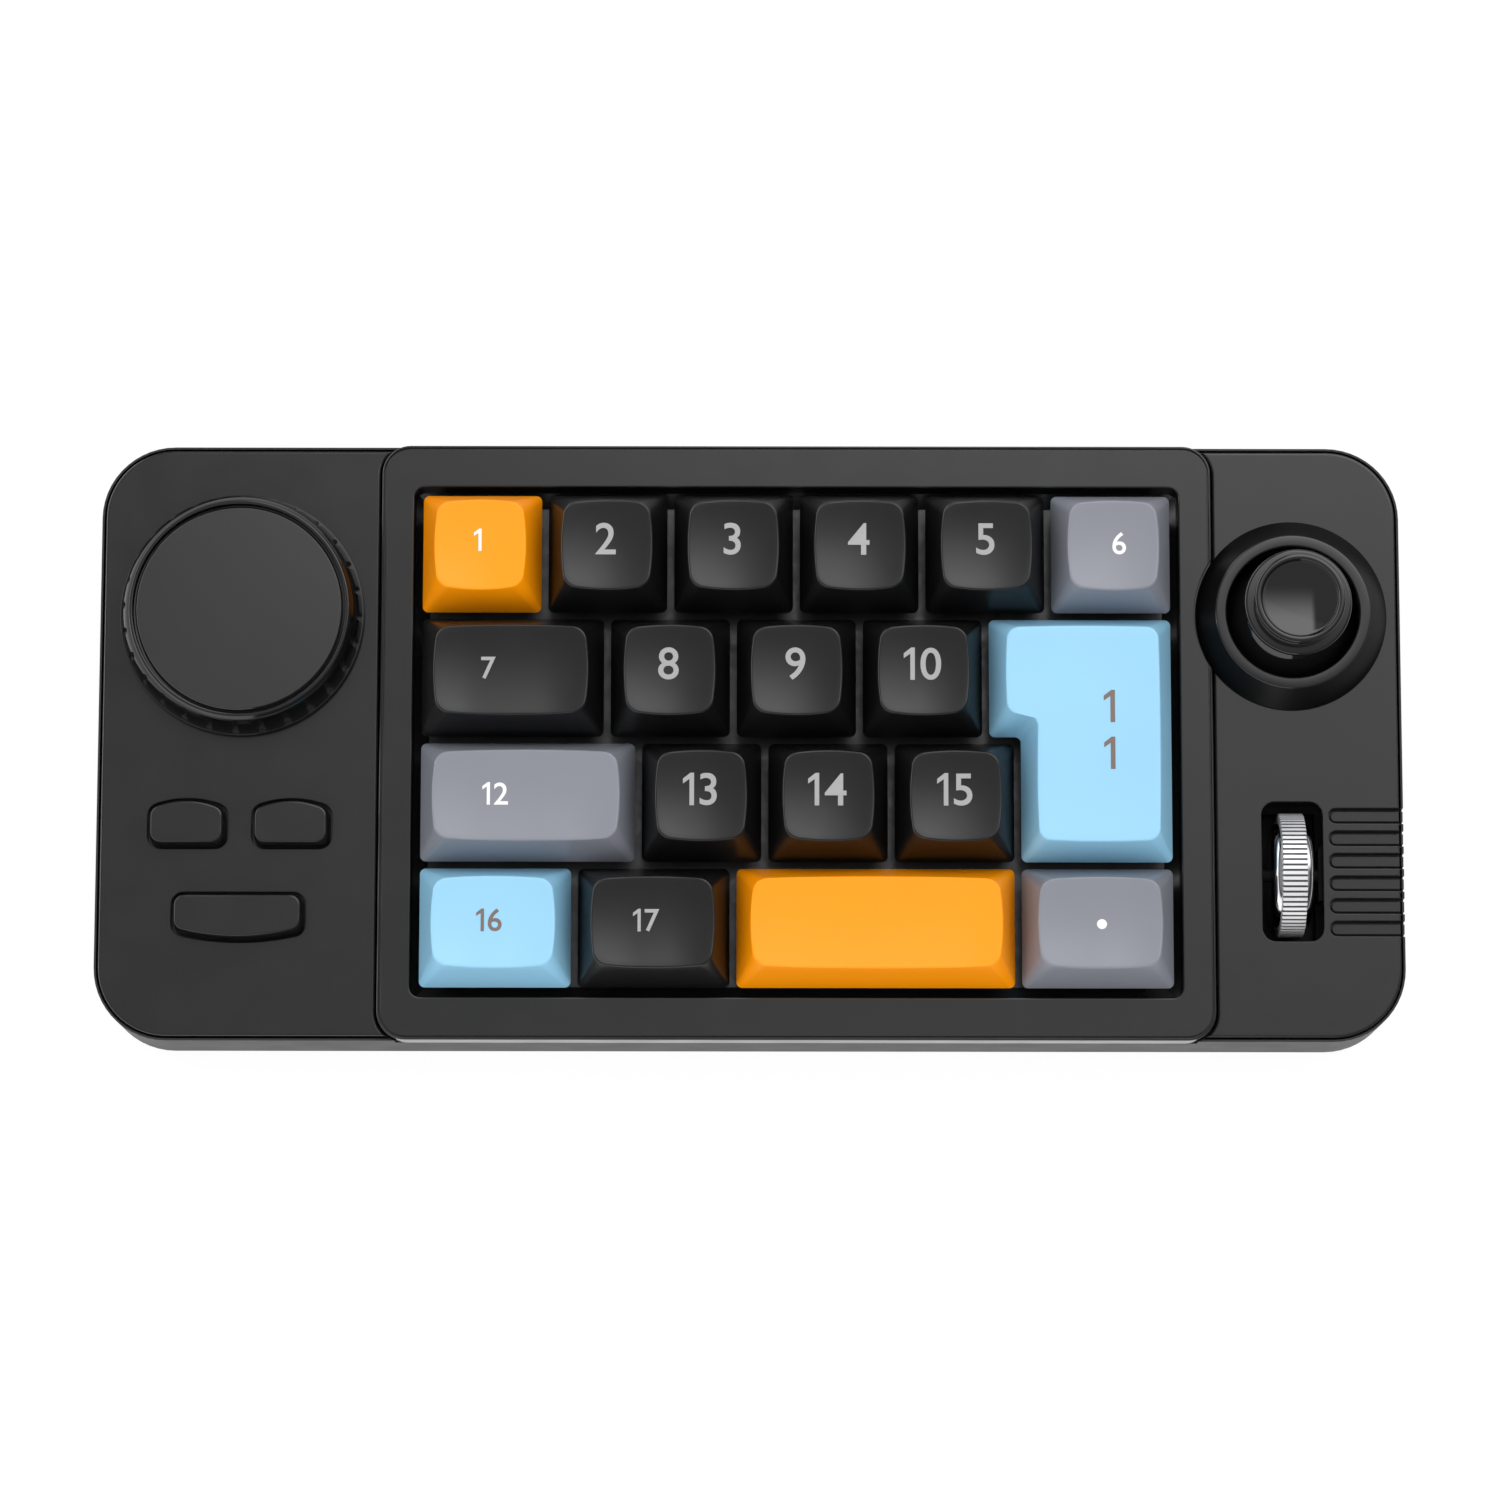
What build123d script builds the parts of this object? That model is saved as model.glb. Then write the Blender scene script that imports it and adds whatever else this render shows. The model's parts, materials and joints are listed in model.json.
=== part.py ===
from build123d import *
import os
from math import asin, cos, radians, sin, sqrt

# Key grid
key_pitch = 19.05
key_columns = 6
key_rows = 4
key_gap = 1.05
key_travel = 4.0
slider_floor_gap = 1.0

# Case plan
left_wing = 42.65
frame_side_bar = 4.95
frame_end_bar = 6.44
window_gap = 1.4
body_corner = 11.0
frame_corner = 4.3
window_corner = 1.6
case_wall = 2.0
lip_width = 0.3
lip_gap = 0.3
seam_gap = 0.3
bottom_round = 1.0

# Heights
foot_height = 1.0
floor_thickness = 2.0
standoff_height = 3.0
board_thickness = 1.6
plate_rise = 5.0
plate_thickness = 1.5
cap_rise = 6.2
wing_drop = 1.3
cover_thickness = 3.0
lip_drop = 0.35

# Edge rounding and the fine line round the frame
top_round = 0.4
frame_round = 0.24
line_inset = 0.3
line_width = 0.3
line_depth = 0.5

# Skirt of the frame under its window, with a sloping ledge on the plate
skirt_wall = 1.2
ledge_width = 2.2
ledge_height = 1.6

# Key caps
cap_base_corner = 0.9
cap_top_corner = 3.0
tall_top_corner = 1.9
cap_edge_height = 7.8
cap_spare_height = 0.5
cap_side_inset = 2.4
cap_wall = 1.5
cap_roof = 1.6
dish_depth = 0.6
cap_post_side = 5.4
cross_span = 4.1
cross_arm = 1.2
cross_height = 3.6
cross_clearance = 0.06

# Key switches
switch_side = 13.8
switch_hole_clearance = 0.1
switch_flange_side = 15.4
switch_flange_height = 0.8
switch_top_side = 10.6
switch_height = 6.6
slider_width = 7.0
slider_depth = 5.8
slider_height = 4.8
slider_clearance = 0.2
slider_drop = 0.2
post_seat_gap = 0.1
stabiliser_gap = 1.04
stabiliser_width = 6.4
stabiliser_depth = 11.6
stabiliser_height = 2.0
stabiliser_slot_width = 4.6
stabiliser_slot_depth = 6.6
stabiliser_stem_width = 4.2
stabiliser_stem_depth = 6.2
stabiliser_stem_height = 6.4

# Screws
screw_shank = 1.0
screw_head = 1.9
screw_head_height = 1.1
screw_clearance = 0.1
post_radius = 2.4
boss_radius = 2.4
boss_tip_rise = 1.0
boss_roof = 1.0
wall_post_clearance = 0.2
board_post_clearance = 0.4
board_screw_length = 3.6
cover_screw_edge = 8.0
cover_screw_seam = 5.0
board_screw_edge = 7.5
board_screw_seam = 4.5

# Feet
foot_radius = 5.0
foot_recess = 0.5
foot_clearance = 0.15
foot_edge_x = 14.5
foot_edge_y = 18.0

# Board and plate
board_wall_gap = 0.6
plate_corner = 2.0
chip_side = 7.0
chip_height = 0.9

# Cable inlet
inlet_width = 8.94
inlet_height = 3.2
inlet_length = 7.3
inlet_shell = 0.3
inlet_offset = -30.0
inlet_setback = 0.6
inlet_clearance = 0.3
inlet_tongue_width = 6.6
inlet_tongue_height = 0.7

# Dial, placed from the left edge and from the middle of the depth
dial_edge = 21.65
dial_y = 19.2
dial_radius = 18.5
dial_height = 6.0
dial_press = 0.5
dial_press_gap = 0.3
dial_base_height = 0.5
dial_foot_inset = 0.65
dial_foot_height = 0.9
dial_rim_radius = 16.6
dial_rim_width = 0.55
dial_groove = 0.4
dial_wall = 1.6
dial_hollow = 2.4
dial_hub_radius = 5.5
dial_notches = 28
notch_radius = 0.8
notch_depth = 0.9
dial_cap_thickness = 1.4
dial_cap_bevel = 0.3
dial_roof = 0.8
encoder_side = 12.0
encoder_height = 6.0
encoder_bushing_radius = 3.6
encoder_bushing_top = 0.1
encoder_floor = 1.0
shaft_radius = 3.0
shaft_flat = 1.5
shaft_clearance = 0.05
dial_fit = 0.02
plunger_height = 1.2
bushing_hole_clearance = 0.5

# Function buttons, placed from the dial's axis
button_travel = 0.6
button_pair_width = 12.25
button_pair_spread = 15.7
button_pair_y = -12.6
button_low_width = 20.4
button_low_y = -26.85
button_depth = 7.75
button_gap = 0.48
button_arch = 1.3
button_corner = 2.0
button_rise = 2.5
button_side_inset = 0.3
button_round = 0.25
button_flange = 0.6
button_flange_height = 0.8
button_flange_gap = 0.1
tact_side = 6.0
tact_height = 3.5
tact_floor = 0.6
plunger_radius = 1.7
plunger_clearance = 0.1
plunger_rise = 1.3
button_stem_radius = 1.6
button_stem_gap = 0.05

# Thumb stick, placed from the right edge by its bezel
stick_y = 19.4
bezel_edge_margin = 2.1
bezel_overlap = 2.45
bezel_height = 4.0
bezel_dome_gap = 0.65
bezel_ring_width = 1.6
bezel_slope_width = 2.85
bezel_foot = 0.35
bezel_relief_gap = 0.3
stick_hole_gap = 0.57
stick_press = 0.5
stick_pivot_rise = 5.0
house_dome_gap = 0.548
stick_house_corner = 3.0
stick_house_wall = 1.0
stick_house_floor = 0.8
stick_house_rise = 2.6
gimbal_house_gap = 0.41
gimbal_ring_width = 1.35
gimbal_hub_gap = 1.15
gimbal_thickness = 2.2
gimbal_pin = 0.8
pin_clearance = 0.05
pin_end_gap = 0.1
hub_wall = 1.5
hub_half_height = 2.2
stick_shaft_radius = 1.6
stick_shaft_tail = 3.0
stick_collar_radius = 2.5
stick_collar_height = 1.0
stick_collar_gap = 0.1
dome_wall = 1.0
dome_angle = 75.0
neck_radius = 4.6
flange_radius = 8.05
flange_rise = 17.0
flange_thickness = 1.2
cap_rim_radius = 6.85
cap_rim_rise = 20.4
cap_waist = 6.3
cap_dish_radius = 5.65
cap_dish_depth = 0.9
shaft_reach = 14.5

# Wheel, a little to the left of the stick's line
wheel_offset = -0.22
wheel_y = -19.66
wheel_radius = 9.4
axle_depth = 4.7
wheel_floor_gap = 0.5
wheel_band = 3.7
wheel_teeth = 72
tooth_depth = 0.32
tooth_share = 0.58
flange_step = 1.0
flange_wheel_width = 1.15
flange_face_rim = 0.05
wheel_axle_radius = 1.0
axle_clearance = 0.05
slot_width = 9.3
slot_end_gap = 1.25
slot_corner = 2.1
bracket_inner = 8.4
bracket_wall = 1.3
bracket_base = 1.8
cheek_width = 8.0
cheek_roof_gap = 0.3
board_hole_margin = 0.5
wheel_encoder_width = 4.0
wheel_encoder_depth = 8.0
axle_entry = 2.0

# Grooves beside the wheel
groove_count = 6
groove_pitch = 3.43
groove_width = 2.4
groove_depth = 1.0
groove_moat_width = 0.45
groove_moat_depth = 2.2
groove_start = 5.47
groove_y = -19.75

# Levels that follow
floor_low = foot_height
floor_top = floor_low + floor_thickness
board_low = floor_top + standoff_height
board_top = board_low + board_thickness
plate_top = board_top + plate_rise
plate_low = plate_top - plate_thickness
rim_level = plate_top + cap_rise
frame_top = rim_level
wing_top = frame_top - wing_drop
seat_level = wing_top - cover_thickness
lip_top = wing_top - lip_drop
pivot_level = board_top + stick_pivot_rise
axle_level = wing_top - axle_depth
boss_tip = board_top + boss_tip_rise

# Sizes of the stick that follow its shaft, from the inside out
hub_radius = stick_shaft_radius + hub_wall
gimbal_inner = hub_radius + gimbal_hub_gap
gimbal_outer = gimbal_inner + gimbal_ring_width
stick_house_half = gimbal_outer + gimbal_house_gap + stick_house_wall
stick_house_side = 2 * stick_house_half
stick_house_reach = stick_house_corner + sqrt(2) * (stick_house_half - stick_house_corner)
stick_house_ball = sqrt(stick_house_reach**2 + stick_house_rise**2)
dome_radius = stick_house_ball + house_dome_gap + dome_wall
bezel_ring_inner = sqrt(dome_radius**2 - (wing_top - pivot_level) ** 2) + bezel_dome_gap
bezel_ring_outer = bezel_ring_inner + bezel_ring_width
bezel_radius = bezel_ring_outer + bezel_slope_width
stick_hole_radius = sqrt(dome_radius**2 - (seat_level - pivot_level) ** 2) + stick_hole_gap
stick_edge = bezel_radius + bezel_edge_margin
right_wing = stick_edge + bezel_radius - bezel_overlap

# Plan sizes and places that follow
window_width = key_columns * key_pitch - key_gap + 2 * window_gap
window_depth = key_rows * key_pitch - key_gap + 2 * window_gap
frame_width = window_width + 2 * frame_side_bar
body_depth = window_depth + 2 * frame_end_bar
body_width = left_wing + frame_width + right_wing
frame_x = -body_width / 2 + left_wing + frame_width / 2
dial_x = -body_width / 2 + dial_edge
stick_x = body_width / 2 - stick_edge
wheel_x = stick_x + wheel_offset
wheel_well = 2 * (wheel_radius + board_hole_margin)
slot_length = 2 * (wheel_radius + slot_end_gap)


def block(width, depth, low, high, x=0.0, y=0.0, corner=0.0):
    """Upright block between two levels, with rounded corners where asked."""
    plan = RectangleRounded(width, depth, corner) if corner else Rectangle(width, depth)
    return Pos(x, y, low) * extrude(plan, high - low)


def rod(radius, low, high, x=0.0, y=0.0):
    """Upright round bar between two levels."""
    return Pos(x, y, low) * extrude(Circle(radius), high - low)


def tapered(low_width, low_depth, high_width, high_depth, low, high):
    """Block whose top is smaller or larger than its base."""
    base = Pos(0, 0, low) * Rectangle(low_width, low_depth)
    top = Pos(0, 0, high) * Rectangle(high_width, high_depth)
    return loft([base, top])


def turned(outline):
    """Round piece about the upright axis, from an outline in radius and height."""
    return revolve(make_face([Plane.XZ * stretch for stretch in outline]), Axis.Z)


def group(solids):
    """One node made of separate solids."""
    return Compound(list(solids))


# Plans shared by the case and the covers
def body_plan(inset):
    return RectangleRounded(body_width - 2 * inset, body_depth - 2 * inset, body_corner - inset)


def frame_plan(growth):
    corner = frame_corner + growth
    plan = RectangleRounded(frame_width + 2 * growth, body_depth + 2 * growth, corner)
    return Pos(frame_x, 0) * plan


def corner_places(x_low, x_high, y_reach):
    return [(x, y) for x in (x_low, x_high) for y in (-y_reach, y_reach)]


cover_screw_y = body_depth / 2 - cover_screw_edge
left_screws = corner_places(
    -body_width / 2 + cover_screw_edge,
    -body_width / 2 + left_wing - cover_screw_seam,
    cover_screw_y,
)
right_screws = corner_places(
    body_width / 2 - right_wing + cover_screw_seam,
    body_width / 2 - cover_screw_edge,
    cover_screw_y,
)
frame_boss_y = body_depth / 2 - case_wall - wall_post_clearance - boss_radius
frame_boss_x = frame_width / 2 - boss_radius
frame_screws = [
    (frame_x + side * frame_boss_x, y)
    for side in (-1, 0, 1)
    for y in (-frame_boss_y, frame_boss_y)
]
board_screws = [
    (-body_width / 2 + board_screw_edge, 0.0),
    (-body_width / 2 + left_wing - board_screw_seam, 0.0),
    (body_width / 2 - right_wing + board_screw_seam, 0.0),
    (body_width / 2 - board_screw_edge, 0.0),
]
feet = [
    (x, y)
    for x in (-body_width / 2 + foot_edge_x, body_width / 2 - foot_edge_x)
    for y in (-body_depth / 2 + foot_edge_y, body_depth / 2 - foot_edge_y)
]


# Key places: row, then left edge and width in quarters of the key pitch, in reading order
key_table = {
    "key_01": (0, 0, 4),
    "key_02": (0, 4, 4),
    "key_03": (0, 8, 4),
    "key_04": (0, 12, 4),
    "key_05": (0, 16, 4),
    "key_06": (0, 20, 4),
    "key_07": (1, 0, 6),
    "key_08": (1, 6, 4),
    "key_09": (1, 10, 4),
    "key_10": (1, 14, 4),
    "key_12": (2, 0, 7),
    "key_13": (2, 7, 4),
    "key_14": (2, 11, 4),
    "key_15": (2, 15, 4),
    "key_16": (3, 0, 5),
    "key_17": (3, 5, 5),
    "space_bar": (3, 10, 9),
    "key_dot": (3, 19, 5),
}
tall_key = "key_11"
tall_upper_quarter_count = 6
tall_lower_quarter_count = 5
single_quarter_count = 4
key_quarter = key_pitch / single_quarter_count
tall_upper_width = tall_upper_quarter_count * key_quarter
tall_lower_width = tall_lower_quarter_count * key_quarter


def key_place(row, left, width):
    x = frame_x + (left + width / 2) * key_quarter - key_columns * key_pitch / 2
    y = (key_rows - 1 - 2 * row) * key_pitch / 2
    return x, y


tall_place = (frame_x + (key_columns * key_pitch - tall_lower_width) / 2, 0.0)
switch_places = {name: key_place(*entry) for name, entry in key_table.items()}
switch_places[tall_key] = tall_place
space_place = switch_places["space_bar"]
stabiliser_reach = switch_flange_side / 2 + stabiliser_gap + stabiliser_width / 2
stabiliser_places = [
    (space_place[0] + side * stabiliser_reach, space_place[1], 0) for side in (-1, 1)
] + [(tall_place[0], tall_place[1] + side * stabiliser_reach, 90) for side in (-1, 1)]


# Outer case
def grooves():
    """Cutters of the grip grooves, each with a narrow moat round its floor, out through the right edge."""
    start = wheel_x + groove_start
    reach = body_width / 2 - start + groove_width
    first = groove_y + (groove_count - 1) / 2 * groove_pitch
    pocket = SlotOverall(2 * reach, groove_width)
    island = SlotOverall(2 * (reach - groove_moat_width), groove_width - 2 * groove_moat_width)
    cutter = Pos(0, 0, wing_top - groove_depth) * extrude(pocket, groove_depth)
    cutter += Pos(0, 0, wing_top - groove_moat_depth) * extrude(pocket - island, groove_moat_depth)
    return [Pos(start + reach, first - index * groove_pitch) * cutter for index in range(groove_count)]


def inlet_plan(growth):
    return SlotOverall(inlet_width + 2 * growth, inlet_height + 2 * growth)


inlet_level = board_top + inlet_height / 2
inlet_face = body_depth / 2 - inlet_setback
inlet_x = frame_x + inlet_offset


wheel_pose = Pos(wheel_x, wheel_y, axle_level) * Rot(0, 90, 0)
bracket_reach = bracket_inner / 2


def lower_case():
    tub = Pos(0, 0, floor_low) * extrude(body_plan(0), seat_level - floor_low)
    tub = fillet(tub.faces().sort_by(Axis.Z)[0].edges(), bottom_round)
    tub -= Pos(0, 0, floor_top) * extrude(body_plan(case_wall), seat_level - floor_top)
    ring = body_plan(0) - body_plan(lip_width) - frame_plan(seam_gap)
    lip = Pos(0, 0, seat_level) * extrude(ring, lip_top - seat_level)
    posts = [rod(post_radius, floor_low, boss_tip, x, y) for x, y in left_screws + right_screws]
    posts += [rod(post_radius, floor_low, plate_low, x, y) for x, y in frame_screws]
    posts += [rod(post_radius, floor_low, board_low, x, y) for x, y in board_screws]
    holes = []
    for x, y in left_screws + right_screws + frame_screws:
        holes.append(rod(screw_shank + screw_clearance, floor_low, plate_low, x, y))
        holes.append(rod(screw_head + screw_clearance, floor_low, floor_low + screw_head_height, x, y))
    hole_low = board_top - board_screw_length
    holes += [rod(screw_shank + screw_clearance, hole_low, board_low, x, y) for x, y in board_screws]
    recess = foot_radius + foot_clearance
    holes += [rod(recess, floor_low, floor_low + foot_recess, x, y) for x, y in feet]
    mouth = Plane((inlet_x, body_depth / 2, inlet_level), x_dir=(1, 0, 0), z_dir=(0, -1, 0))
    holes.append(extrude(mouth * inlet_plan(inlet_clearance), case_wall))
    holes.append(wheel_pose * rod(wheel_radius + wheel_floor_gap, -bracket_reach, bracket_reach))
    return tub + lip + posts - holes - grooves()


def cover(screws, is_left):
    """Wing cover: the part of the top on one side of the frame, with its screw bosses."""
    side = -1 if is_left else 1
    half = Pos(frame_x + side * body_width / 2, 0) * Rectangle(body_width, 2 * body_depth)
    plan = (body_plan(lip_width + lip_gap) & half) - frame_plan(seam_gap)
    plate = Pos(0, 0, seat_level) * extrude(plan, cover_thickness)
    plate = fillet(plate.faces().sort_by(Axis.Z)[-1].edges(), top_round)
    bosses = [rod(boss_radius, boss_tip, seat_level, x, y) for x, y in screws]
    bores = [
        rod(screw_shank + screw_clearance, boss_tip, wing_top - boss_roof - top_round, x, y)
        for x, y in screws
    ]
    return plate + bosses - bores


def left_cover():
    hole = rod(encoder_bushing_radius + bushing_hole_clearance, seat_level, wing_top, dial_x, dial_y)
    openings = [hole]
    for x, y, width, turn in button_places():
        plan = button_plan(width, button_depth, button_arch, button_corner)
        openings.append(Pos(x, y, seat_level) * Rot(0, 0, turn) * extrude(plan, cover_thickness))
    return cover(left_screws, True) - openings


def right_cover():
    openings = [
        rod(stick_hole_radius, seat_level, wing_top, stick_x, stick_y),
        block(slot_width, slot_length, seat_level, wing_top, wheel_x, wheel_y, slot_corner),
    ]
    return cover(right_screws, False) - openings - grooves()


def centre_frame():
    slab = Pos(0, 0, seat_level) * extrude(frame_plan(0), frame_top - seat_level)
    skirt_width = window_width + 2 * skirt_wall
    skirt_depth = window_depth + 2 * skirt_wall
    slab += block(skirt_width, skirt_depth, plate_top, seat_level, frame_x, 0, window_corner + skirt_wall)
    ledge_top = plate_top + ledge_height
    slab -= block(window_width, window_depth, ledge_top, frame_top, frame_x, 0, window_corner)
    slab = fillet(slab.faces().sort_by(Axis.Z)[-1].edges(), frame_round)
    open_width = window_width - 2 * ledge_width
    open_depth = window_depth - 2 * ledge_width
    window = tapered(open_width, open_depth, window_width, window_depth, plate_top, ledge_top)
    line = frame_plan(-line_inset) - frame_plan(-line_inset - line_width)
    line = Pos(0, 0, frame_top - line_depth) * extrude(line, line_depth)
    relief = rod(bezel_radius + bezel_relief_gap, wing_top, frame_top, stick_x, stick_y)
    bosses = [rod(boss_radius, plate_top, seat_level, x, y) for x, y in frame_screws]
    bores = [
        rod(screw_shank + screw_clearance, plate_top, frame_top - boss_roof, x, y)
        for x, y in frame_screws
    ]
    return slab + bosses - Pos(frame_x, 0) * window - line - relief - bores


# Boards, plate and what sits on them
def circuit_board():
    plan = body_plan(case_wall + board_wall_gap)
    board = Pos(0, 0, board_low) * extrude(plan, board_thickness)
    around = post_radius + board_post_clearance
    posts = left_screws + right_screws + frame_screws
    holes = [rod(around, board_low, board_top, x, y) for x, y in posts]
    holes += [rod(screw_shank + screw_clearance, board_low, board_top, x, y) for x, y in board_screws]
    holes.append(block(bracket_inner, wheel_well, board_low, board_top, wheel_x, wheel_y))
    return board - holes


def switch_plate():
    depth = body_depth - 2 * (case_wall + board_wall_gap)
    width = frame_width - 2 * seam_gap
    plate = block(width, depth, plate_low, plate_top, frame_x, 0, plate_corner)
    side = switch_side + 2 * switch_hole_clearance
    holes = [block(side, side, plate_low, plate_top, x, y) for x, y in switch_places.values()]
    holes += [rod(screw_shank + screw_clearance, plate_low, plate_top, x, y) for x, y in frame_screws]
    wide = stabiliser_width + 2 * switch_hole_clearance
    deep = stabiliser_depth + 2 * switch_hole_clearance
    for x, y, turn in stabiliser_places:
        cut = block(wide, deep, plate_low, plate_top)
        holes.append(Pos(x, y) * Rot(0, 0, turn) * cut)
    return plate - holes


switch_top = plate_top + switch_height
slider_top = switch_top - slider_drop
slider_low = slider_top - slider_height


def switch_housings():
    flange_top = plate_top + switch_flange_height
    housing = block(switch_side, switch_side, board_top, plate_top)
    housing += block(switch_flange_side, switch_flange_side, plate_top, flange_top)
    housing += tapered(switch_side, switch_side, switch_top_side, switch_top_side, flange_top, switch_top)
    wide = slider_width + 2 * slider_clearance
    deep = slider_depth + 2 * slider_clearance
    housing -= block(wide, deep, slider_low - key_travel - slider_floor_gap, switch_top)
    return group(Pos(x, y) * housing for x, y in switch_places.values())


def stabiliser_housings():
    top = plate_top + stabiliser_height
    housing = block(stabiliser_width, stabiliser_depth, board_top, top)
    housing -= block(stabiliser_slot_width, stabiliser_slot_depth, board_top, top)
    return group(Pos(x, y) * Rot(0, 0, turn) * housing for x, y, turn in stabiliser_places)


def controller_chip():
    return block(chip_side, chip_side, board_low - chip_height, board_low, frame_x, 0)


def cable_inlet():
    mouth = Plane((inlet_x, inlet_face, inlet_level), x_dir=(1, 0, 0), z_dir=(0, -1, 0))
    shell = extrude(mouth * inlet_plan(0), inlet_length)
    shell -= extrude(mouth * inlet_plan(-inlet_shell), inlet_length - inlet_shell)
    tongue = extrude(mouth * Rectangle(inlet_tongue_width, inlet_tongue_height), inlet_length)
    return shell + tongue


def screw(tip, head_low, x, y):
    shank = rod(screw_shank, head_low, tip, x, y)
    return shank + rod(screw_head, head_low, head_low + screw_head_height, x, y)


def case_screws():
    tip = wing_top - boss_roof - 2 * top_round
    return group(screw(tip, floor_low, x, y) for x, y in left_screws + right_screws)


def frame_screw_set():
    tip = frame_top - boss_roof - top_round
    return group(screw(tip, floor_low, x, y) for x, y in frame_screws)


def board_screw_set():
    shank = rod(screw_shank, board_top - board_screw_length + screw_clearance, board_top)
    one = shank + rod(screw_head, board_top, board_top + screw_head_height)
    return group(Pos(x, y) * one for x, y in board_screws)


def rubber_feet():
    return group(rod(foot_radius, 0, floor_low + foot_recess, x, y) for x, y in feet)


# Keys
cap_height = cap_edge_height + cap_spare_height
cap_slope = cap_side_inset / cap_edge_height
cap_roof_level = cap_edge_height - dish_depth - cap_roof
single_top = key_pitch - key_gap - 2 * cap_side_inset
dish_radius = (single_top / 2) ** 2 / (2 * dish_depth)
dish_low = cap_edge_height - dish_depth
post_low = slider_top - rim_level + post_seat_gap


def cross(clearance, low, high):
    """Cross-shaped bar that joins a cap to its slider."""
    span = cross_span + 2 * clearance
    arm = cross_arm + 2 * clearance
    return block(span, arm, low, high) + block(arm, span, low, high)


def cap_post(x, y):
    post = block(cap_post_side, cap_post_side, post_low, cap_roof_level)
    socket_top = slider_top - rim_level + cross_height + cross_clearance
    return Pos(x, y) * (post - cross(cross_clearance, post_low, socket_top))


def cap_shell(base, top, cavity_base, cavity_top, dish, stems):
    """Hollow cap between two outlines, dished on top, with a post for each stem."""
    outside = loft([base, Pos(0, 0, cap_height) * top])
    inside = loft([cavity_base, Pos(0, 0, cap_roof_level) * cavity_top])
    return outside - inside - dish + [cap_post(x, y) for x, y in stems]


def straight_cap(quarters, stems):
    width = quarters * key_quarter - key_gap
    depth = key_pitch - key_gap
    inset = cap_slope * cap_height
    roof_inset = cap_slope * cap_roof_level + cap_wall
    if quarters == single_quarter_count:
        dish = Pos(0, 0, dish_low + dish_radius) * Sphere(dish_radius)
    else:
        dish = Pos(0, 0, dish_low + dish_radius) * Rot(0, 90, 0) * Cylinder(dish_radius, 2 * width)
    return cap_shell(
        RectangleRounded(width, depth, cap_base_corner),
        RectangleRounded(width - 2 * inset, depth - 2 * inset, cap_top_corner),
        Rectangle(width - 2 * cap_wall, depth - 2 * cap_wall),
        Rectangle(width - 2 * roof_inset, depth - 2 * roof_inset),
        dish,
        stems,
    )


def tall_plan(inset, corner):
    """L-shaped outline of the tall key, about the middle of its lower part's width."""
    edge = key_gap / 2 + inset
    right = tall_lower_width / 2 - edge
    lower_left = -tall_lower_width / 2 + edge
    upper_left = lower_left - (tall_upper_width - tall_lower_width)
    back = key_pitch - edge
    front = -key_pitch + edge
    outline = Polyline(
        (right, front), (right, back), (upper_left, back),
        (upper_left, edge), (lower_left, edge), (lower_left, front), close=True,
    )
    plan = make_face(outline)
    return fillet(plan.vertices(), corner) if corner else plan


def tall_cap(stems):
    reach = tall_upper_width - tall_lower_width / 2 - key_gap / 2 - cap_side_inset
    radius = reach**2 / (2 * dish_depth)
    dish = Pos(0, 0, dish_low + radius) * Rot(90, 0, 0) * Cylinder(radius, 4 * key_pitch)
    return cap_shell(
        tall_plan(0, cap_base_corner),
        tall_plan(cap_slope * cap_height, tall_top_corner),
        tall_plan(cap_wall, 0),
        tall_plan(cap_slope * cap_roof_level + cap_wall, 0),
        dish,
        stems,
    )


def slider():
    body = block(slider_width, slider_depth, slider_low, slider_top)
    return body + cross(0, slider_top, slider_top + cross_height)


def stabiliser_stem():
    low = slider_top - stabiliser_stem_height
    body = block(stabiliser_stem_width, stabiliser_stem_depth, low, slider_top)
    return body + cross(0, slider_top, slider_top + cross_height)


def keys():
    """Every key: its cap, its switch's slider and any stabiliser stems."""
    made = {}
    shapes = {}
    along = [(side * stabiliser_reach, 0.0) for side in (-1, 1)]
    across = [(0.0, side * stabiliser_reach) for side in (-1, 1)]
    for name, (row, left, width) in key_table.items():
        outer = along if name == "space_bar" else []
        if (width, len(outer)) not in shapes:
            cap = Pos(0, 0, rim_level) * straight_cap(width, [(0.0, 0.0)] + outer)
            stems = [Pos(x, y) * stabiliser_stem() for x, y in outer]
            shapes[(width, len(outer))] = [cap, slider()] + stems
        x, y = switch_places[name]
        made[name] = group(Pos(x, y) * piece for piece in shapes[(width, len(outer))])
    cap = Pos(0, 0, rim_level) * tall_cap([(0.0, 0.0)] + across)
    stems = [Pos(x, y) * Rot(0, 0, 90) * stabiliser_stem() for x, y in across]
    made[tall_key] = group(Pos(*tall_place) * piece for piece in [cap, slider()] + stems)
    return made


# Dial and its encoder
encoder_top = board_top + encoder_height
bushing_top = wing_top + encoder_bushing_top
plunger_low = board_top + encoder_floor + dial_press + dial_press_gap
shaft_low = plunger_low + plunger_height
dial_low = wing_top + dial_press + dial_press_gap
dial_top = dial_low + dial_height
dial_recess = dial_top - dial_cap_thickness
shaft_top = dial_recess - dial_roof


def encoder_body():
    body = block(encoder_side, encoder_side, board_top, encoder_top)
    body += rod(encoder_bushing_radius, encoder_top, bushing_top)
    body -= rod(shaft_radius + shaft_clearance, board_top + encoder_floor, bushing_top)
    return Pos(dial_x, dial_y) * body


def encoder_plunger():
    return rod(shaft_radius, plunger_low, shaft_low, dial_x, dial_y)


def shaft_with_flat(growth, low, high):
    """Round bar with one flat side, which carries the dial round."""
    reach = shaft_radius + growth
    flat = shaft_flat + growth
    bar = rod(reach, low, high)
    return bar - block(2 * reach, reach - flat, low, high, 0, (reach + flat) / 2)


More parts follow.
